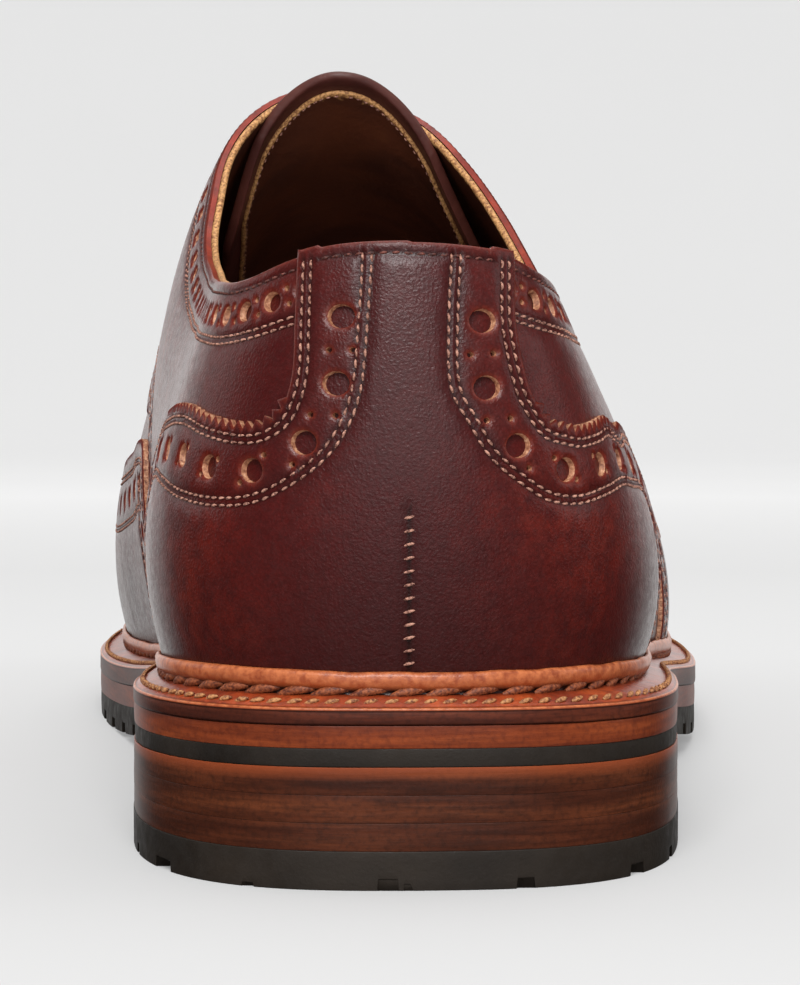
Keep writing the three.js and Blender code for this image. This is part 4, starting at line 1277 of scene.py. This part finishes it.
def wavy(u, size, pitch, seed):
    """Handwork's slow wander along the welt, in millimetres."""
    place = last(u, 0)[..., :2] @ unit(np.array([0.83, 0.56])) * 2 * np.pi / pitch
    return size * sum(part * np.sin(often * place + shift * seed) for part, often, shift in WANDER) / 2


CORNER = [(1.0, 0.0), (0.45, 0.08), (0.12, 0.38), (0.0, 1.0)]     # a rounded corner: inset and drop
WALL_SHARES = (0.25, 0.5, 0.75)
SEAM_BAND = (1, 1, 0.5, 0, 0, 0, 0, 0, 0.5, 1, 1)                # how dark a wall is from its top to its foot
LIT_BAND = (1, 1, 0.95, 0.85, 0.45, 0, 0, 0, 0.5, 1, 1)          # and how lit
NOTCH_COLUMNS = 4            # how many columns of the tread a notch reaches in


def beyond(u, distance, z):
    """Points beside the feather line at a height."""
    p, outward = feather(u)
    points = p + outward * np.broadcast_to(distance, p.shape[:-1])[..., None]
    points[..., 2] = z
    return points


def sole_edge(u, inset=0.0):
    """How far the sole's edge stands out from the feather line."""
    flare = 0
    for side, wider in HEEL_FLARE.items():
        there = side * ((np.asarray(u, float) + TOE) % AROUND - TOE)
        flare = flare + wider * ease(0.1, 1.4, there) * (1 - ease(3, 4.8, there))
    size, place, width = HEEL_CORNER
    flare = flare + size * np.exp(-((there - place) / width) ** 2)
    return layer(FLANGE, last(u, 0)[..., 1], 60) + flare - inset


def notch_cuts(u, notches):
    """How high the notches cut into the lower edge at places u."""
    cut = np.zeros(len(u))
    for centre, half, height in notches:
        cut = np.where(np.abs(u - centre) <= half + 1e-4, height, cut)
    return cut


def side_wall(u, reach, top, bottom, cut, corner, bulge):
    """Rows of points down one side of a layer, with rounded corners."""
    rows = [(inset * corner, top - drop * corner) for inset, drop in CORNER]
    rows += [(-bulge * np.sin(np.pi * share), top - corner + share * (bottom + cut - top + 2 * corner))
             for share in WALL_SHARES]
    rows += [(inset * corner, bottom + cut + drop * corner) for inset, drop in CORNER[::-1]]
    return np.stack([beyond(u, reach(u) - inset, z) for inset, z in rows], 1)


def ladder(name, ends, reach, high, low, materials, corner=0.45, bulge=0.0, notches=(), steps=170,
           slot="sole_rubber", seams=(1.0, 1.0), lit=(0.0, 0.0)):
    """A flat-lying layer: rungs from side to side, from the heel's back to `ends` on the two sides.

    Notches in its lower edge are (u, half width in u, height); seams and lit mark its upper and lower edges:
    seams with a darker band, lit with a paler band that is painted highlight on the heel stack.
    """
    stops = [(n[0] + nudge) / ends[0 if n[0] > 0 else 1] for n in notches
             for nudge in (-n[1] - 0.006, -n[1], n[1], n[1] + 0.006)]
    t = np.unique(np.clip(np.concatenate([np.linspace(0, 1, steps), stops]), 0, 1))
    columns = spread(12, 0.06, 0.06)
    walls, cuts = [], []
    for end in ends:
        u = end * t
        cuts.append(notch_cuts(u, notches))
        walls.append(side_wall(u, reach, high(u), low(u), cuts[-1], corner, bulge))
    (inner, outer), (inner_cut, outer_cut) = walls, cuts
    share = columns[None, :, None]
    roof = inner[:, :1] + (outer[:, :1] - inner[:, :1]) * share
    floor = outer[:, -1:] + (inner[:, -1:] - outer[:, -1:]) * share
    floor[:, NOTCH_COLUMNS:, 2] -= outer_cut[:, None] * (1 - columns[None, NOTCH_COLUMNS:])
    floor[:, :-NOTCH_COLUMNS, 2] -= inner_cut[:, None] * columns[None, :-NOTCH_COLUMNS]
    section = np.concatenate([roof, outer, floor, inner[:, ::-1]], 1)
    rows = section.shape[1]
    upper = np.arange(len(SEAM_BAND)) < len(SEAM_BAND) // 2
    flat = np.zeros(len(columns))
    marks = {}
    for key, band, (above, below) in (("crease", SEAM_BAND, seams), ("wear_and_highlight", LIT_BAND, lit)):
        wall = np.array(band) * np.where(upper, above, below)
        marks[key] = np.tile(np.concatenate([flat, wall, flat, wall[::-1]]), len(t))
    faces = grid_faces(len(t), rows + 1)
    faces = np.where(faces % (rows + 1) == rows, faces - rows, faces)
    faces = faces - faces // (rows + 1)
    last_ring = np.arange((len(t) - 1) * rows, len(t) * rows)
    return new_piece(name, section.reshape(-1, 3), [*faces.tolist(), last_ring.tolist()], materials,
                     slot=slot, marks=marks, weld=True)


def breast(side):
    """u on one side where the sole's edge passes the heel's front."""
    us = side * np.linspace(2, 5, 600)
    return us[np.argmax(beyond(us, sole_edge(us), 0)[:, 1] > BREAST_Y)]


WHOLE = (TOE, -TOE)
HEEL = (breast(1), breast(-1))
HEEL_NOTCHES = [(-2.9, 0.10, 1.7), (-2.4, 0.08, 1.6), (-1.84, 0.035, 1.5), (-1.36, 0.055, 1.4),
                (-0.68, 0.045, 1.3), (0.02, 0.02, 0.8), (0.14, 0.06, 1.4), (0.94, 0.03, 0.5),
                (1.6, 0.09, 1.4), (2.08, 0.03, 1.3), (2.5, 0.08, 1.6), (2.9, 0.10, 1.7)]
TREAD_NOTCHES = [(side * (4.9 + 0.42 * i), 0.06, 1.8) for side in (1, -1) for i in range(11)]
ORANGE_LINE = 0.6            # how strongly the stack's top edge is lit
STACK_SEAM = 0.45


def stack_level(u, share):
    return TOP_LIFT + (heights(u)[3] - TOP_LIFT) * share


def heel_stack():
    """The leather lifts between the top-lift and the sole; the uppermost has a painted highlight along its
    upper edge.
    """
    for i in range(LIFTS):
        uppermost = i == LIFTS - 1
        piece = ladder(f"heel_lift_{i + 1}_leather", HEEL, lambda u: sole_edge(u, 0.1) + wavy(u, 0.04, 17, i),
                       lambda u: stack_level(u, (i + 1) / LIFTS), lambda u: stack_level(u, i / LIFTS),
                       [STACK], corner=0.07, bulge=0.02, slot="stack_leather",
                       seams=(0.0 if uppermost else STACK_SEAM, STACK_SEAM),
                       lit=(ORANGE_LINE if uppermost else 0.0, 0.0))
        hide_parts(f"heel_lift_{i + 1}")


def bottom():
    piece = ladder("midsole_leather", WHOLE, lambda u: sole_edge(u, 0.2) + wavy(u, 0.06, 23, 1),
                   lambda u: heights(u)[1], lambda u: heights(u)[2], [MIDSOLE], corner=0.12, bulge=0.06,
                   slot="stack_leather", seams=(0.35, 0.2))
    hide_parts("midsole")
    piece = ladder("rubber_sole_tread", WHOLE, lambda u: sole_edge(u, 0.25), lambda u: heights(u)[2],
                   lambda u: heights(u)[3], [RUBBER], corner=0.15, bulge=0.05, notches=TREAD_NOTCHES,
                   steps=240, seams=(0.3, 0.0))
    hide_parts("rubber_sole")
    heel_stack()
    piece = ladder("heel_top_lift_tread", HEEL, sole_edge, lambda u: np.full(np.shape(u), TOP_LIFT),
                   lambda u: np.zeros(np.shape(u)), [RUBBER], corner=0.14, notches=HEEL_NOTCHES,
                   seams=(0.3, 0.0))
    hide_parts("heel_top_lift")
    piece = ladder("sock_liner_leather", (TOE - 0.3, 0.3 - TOE), lambda u: np.full(np.shape(u), -3.4),
                   lambda u: last(u, 0)[..., 2] + 1.2, lambda u: last(u, 0)[..., 2], [LINING], corner=0.4,
                   slot="lining_leather", seams=(0, 0), lit=(0.5, 0.5))
    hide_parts("sock_liner")


EDGE_ROWS = 6                # rows of the welt's section that its dark edge takes
LOCK_STITCH = dict(pitch=2.4, length=1.9, width=0.7, lean=0.3, arch=0.12)
BRAID_TURN = dict(pitch=4.7, length=5.2, width=1.3, lean=0.2, arch=0.35)


def welt():
    """A flat welt with a lip that stands up against the upper, a groove between them, and a ribbed edge."""
    us = np.linspace(0, AROUND, 620, endpoint=False)
    p, outward = feather(us)
    welt_top, welt_bottom = heights(us)[:2]
    rim = sole_edge(us) + wavy(us, 0.08, 31, 3)
    rise = 0.1 * LIP_RISE / (last(us, 0.1)[:, 2] - p[:, 2]) * (1 + wavy(us, 0.025, 9, 5))

    def lip(distance, share):
        return last(us, rise * share) + normal(us, rise * share) * distance

    def out(distance, z):
        return beyond(us, distance, z)

    dip = wavy(us, 0.06, 7, 2)
    # each row: a point, its painted shade (darkest in the groove under the lip, also in the edge's grooves
    # and at its foot) and how pale it is (the lip's crest, the edge's top)
    section = [
        (out(0.4, welt_bottom), 0, 0), (out(0.4, welt_top - 0.6), 0, 0), (out(4.5, welt_top - 0.6), 0, 0),
        (lip(4.75, 0.9), 0, 0.2), (lip(4.8, 0.98), 0, 0.8), (lip(5.0, 1.02), 0, 1), (lip(5.4, 1.0), 0, 1),
        (lip(5.7, 0.93), 0, 0.9), (lip(5.85, 0.82), 0, 0.8), (lip(5.9, 0.7), 0, 0.6),
        (lip(5.75, 0.6), 0.4, 0.3), (lip(5.4, 0.5), 1, 0), (out(5.6, welt_top + 1.3), 1, 0),
        (out(6.1, welt_top + 1.35 + dip), 0.6, 0),
        (out(6.6, welt_top + 1.1 + dip), 0.1, 0), (out(rim - 0.62, welt_top + 0.18), 0, 0),
        (out(rim - 0.4, welt_top - 0.1), 0.7, 0), (out(rim - 0.22, welt_top + 0.0), 0, 1),
        (out(rim - 0.04, welt_top - 0.12), 0, 1), (out(rim, welt_top - 0.3), 0, 0.4),
        (out(rim - 0.08, welt_top - 0.42), 0.9, 0), (out(rim - 0.02, welt_top - 0.6), 0, 0),
        (out(rim, welt_bottom + 0.35), 0, 0), (out(rim - 0.1, welt_bottom + 0.1), 0.6, 0),
        (out(rim - 0.5, welt_bottom), 1, 0),
    ]
    columns = len(section)
    points = np.stack([row for row, _, _ in section], 1).reshape(-1, 3)
    marks = {key: np.tile([row[k] for row in section], len(us)) for k, key in ((1, "crease"), (2, "wear_and_highlight"))}
    faces = grid_faces(len(us), columns, around=True)
    start = np.arange(len(us)) * columns
    after = np.roll(start, -1)
    closing = np.stack([start + columns - 1, start, after, after + columns - 1], -1)
    kinds = np.where(faces[:, 0] % columns >= columns - EDGE_ROWS, 1, 0)
    piece = new_piece("storm_welt_leather", points, [*faces.tolist(), *closing.tolist()], [WELT, WELT_EDGE],
                      slot="welt_leather", marks=marks, face_material=[*kinds.tolist(), *[0] * len(us)])
    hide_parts("welt")
    lock = threads(lambda u: beyond(u, sole_edge(u, 1.25), heights(u)[0] + 0.66), **LOCK_STITCH)
    new_piece("welt_stitches", *lock, [WELT_THREAD], slot="welt_leather")
    rope = threads(lambda u: beyond(u, 5.95, heights(u)[0] + 1.85), **BRAID_TURN)
    new_piece("welt_braid", *rope, [BRAID], slot="welt_leather")


def threads(place, pitch, length, width, lean, arch):
    """Threads one after another along a line round the whole foot."""
    us = np.linspace(0, AROUND, 2400)
    line_points = place(us)
    run = np.concatenate([[0], np.cumsum(np.linalg.norm(np.diff(line_points, axis=0), axis=1))])
    count = int(round(run[-1] / pitch))
    u = np.interp((np.arange(count) + rng.uniform(-0.06, 0.06, count)) % count * run[-1] / count, run, us)
    ahead = unit(place(u + 0.01) - place(u - 0.01))
    up = unit(feather(u)[1] + np.array([0, 0, 0.8]))
    return capsules(place(u), ahead, up, length, width, lean, arch)


# ------------------------------------------------------------------ pieces carried over from CAD
HIDDEN = {
    "insole": ("insole_board", (150, 100, 62), (184, 134, 90), 300),
    "insole_rib": ("rib_leather", (140, 92, 58), (176, 126, 84), 500),
    "cork_filler": ("cork", (120, 78, 44), (196, 146, 96), 700),
    "toe_puff": ("puff_board", (150, 128, 100), (186, 166, 136), 600),
    "shank": ("shank_steel", (120, 120, 122), (168, 168, 170), 400),
    "heel_nail": ("nail_steel", (110, 108, 106), (160, 158, 156), 500),
}


def hidden_pieces():
    for start, (name, dark, light, scale) in HIDDEN.items():
        steel = "steel" in name
        material = plain(name, dark, light, scale, metallic=float(steel), roughness=0.35 if steel else 0.7)
        for node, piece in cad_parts.items():
            if node == start or node.startswith(start + "_") and node != "insole_rib":
                piece.data.materials.clear()
                piece.data.materials.append(material)


# ------------------------------------------------------------------ the studio
FLOOR_RADIUS, WALL_BEND, WALL_TOP = 2.4, 1.6, 4.0      # metres
AIR = [                      # axis, from and to along it, and the light's strength at both
    (1, 0.8, 0.99, 0.02, 1.8),
    (1, -0.98, -0.78, 0.24, 0.02),
    (2, 0.6, 1.0, 0.0, 1.0),
]
GLOW = (0.2, 0.3, 0.49)      # of the paper: in front of the shoe, behind it and up the wall
LAMPS = [
    ("key_lamp", (-0.1, -1.3, 1.2), (0.9, 0.6), 24),
    ("low_lamp", (0.1, -1.4, 0.2), (1.2, 0.3), 2),
    ("top_lamp", (0.1, 0.3, 1.6), (1.4, 1.2), 5),
    ("left_lamp", (-1.4, 0.9, 0.6), (0.8, 0.8), 2),
    ("right_lamp", (1.45, 0.1, 0.6), (0.7, 0.8), 2),
]
CAMERA = dict(place=(-5.4, -331.0, 60.0), yaw=0.73, pitch=-1.965, lens=99.92)


def studio_paper():
    """Pale paper that glows a little, more so up the wall, so that floor and wall look the same."""
    paint = Paint("studio_paper", roughness=0.95, specular=0.0)
    tint = paint.noise(3, 2)
    paint.colour(paint.ramp(tint, [(0.2, (170, 170, 170)), (0.8, (172, 172, 172))]))
    flat = paint.maths("SQRT", paint.maths("ADD", paint.maths("MULTIPLY", paint.axis(0), paint.axis(0)),
                                           paint.maths("MULTIPLY", paint.axis(1), paint.axis(1))), 0)
    paint.shader.inputs["Emission Color"].default_value = (1, 1, 1, 1)
    behind = paint.span(paint.axis(1), -0.2, 0.15, GLOW[0], GLOW[1])
    glow = paint.maths("MAXIMUM", behind, paint.span(flat, 0.1, 1.2, GLOW[0], GLOW[2]))
    paint.link(glow, paint.shader.inputs["Emission Strength"])
    return paint.bump((paint.noise(400, 2), 0.02, 0.0002))


def studio_air():
    """Soft light from above and around; what gloss reflects is darker on the side of the heel."""
    world = bpy.data.worlds.new("studio_air")
    world.use_nodes = True
    tree = world.node_tree
    place = tree.nodes.new("ShaderNodeTexCoord")
    split = tree.nodes.new("ShaderNodeSeparateXYZ")
    tree.links.new(place.outputs["Generated"], split.inputs[0])
    spans = []
    for axis, *numbers in AIR:
        span = tree.nodes.new("ShaderNodeMapRange")
        span.interpolation_type = "SMOOTHSTEP"
        for key, number in zip(("From Min", "From Max", "To Min", "To Max"), numbers):
            span.inputs[key].default_value = number
        tree.links.new(split.outputs[axis], span.inputs["Value"])
        spans.append(span.outputs["Result"])
    while len(spans) > 1:
        brighter = tree.nodes.new("ShaderNodeMath")
        brighter.operation = "MAXIMUM"
        for socket in brighter.inputs[:2]:
            tree.links.new(spans.pop(), socket)
        spans.append(brighter.outputs[0])
    background = tree.nodes["Background"]
    background.inputs["Color"].default_value = (1, 0.995, 0.985, 1)
    tree.links.new(spans[0], background.inputs["Strength"])
    bpy.context.scene.world = world


def studio():
    angle = np.linspace(0, np.pi / 2, 24)
    profile = [(0.0, 0.0), (0.6, 0.0), (1.4, 0.0)]
    profile += [(FLOOR_RADIUS + WALL_BEND * math.sin(a), WALL_BEND * (1 - math.cos(a))) for a in angle]
    profile += [(FLOOR_RADIUS + WALL_BEND, WALL_TOP)]
    spokes = 96
    turn = 2 * np.pi * np.arange(spokes) / spokes
    points = [(r * math.cos(a), r * math.sin(a), z) for a in turn for r, z in profile]
    mesh = bpy.data.meshes.new("studio_floor")
    mesh.from_pydata(points, [], grid_faces(spokes, len(profile), around=True).tolist())
    mesh.materials.append(studio_paper())
    mesh.polygons.foreach_set("use_smooth", np.ones(len(mesh.polygons), bool))
    floor = bpy.data.objects.new("studio_floor", mesh)
    floor.visible_glossy = False
    bpy.context.scene.collection.objects.link(floor)
    studio_air()
    for name, place, size, power in LAMPS:
        lamp = bpy.data.lights.new(name, "AREA")
        lamp.shape = "RECTANGLE"
        lamp.size, lamp.size_y = size
        lamp.energy = power
        item = bpy.data.objects.new(name, lamp)
        item.location = place
        item.rotation_euler = (Vector((0, 0, 0.05)) - Vector(place)).to_track_quat("-Z", "Y").to_euler()
        bpy.context.scene.collection.objects.link(item)
    bpy.context.scene.view_settings.view_transform = "Standard"


def camera():
    lens = bpy.data.cameras.new("photo_camera")
    lens.lens = CAMERA["lens"]
    lens.clip_start = 0.01
    item = bpy.data.objects.new("photo_camera", lens)
    item.location = to_frame(CAMERA["place"])
    yaw, pitch = math.radians(CAMERA["yaw"]), math.radians(CAMERA["pitch"])
    ahead = Vector((math.sin(yaw) * math.cos(pitch), math.cos(yaw) * math.cos(pitch), math.sin(pitch)))
    item.rotation_euler = ahead.to_track_quat("-Z", "Y").to_euler()
    bpy.context.scene.collection.objects.link(item)
    bpy.context.scene.camera = item


camera()
heel_foxing()
for side_name, side_sign in SIDES.items():
    quarter(side_name, side_sign)
vamp()
wing_cap()
linings()
tongue()
eyelets()
welt()
bottom()
hidden_pieces()
studio()
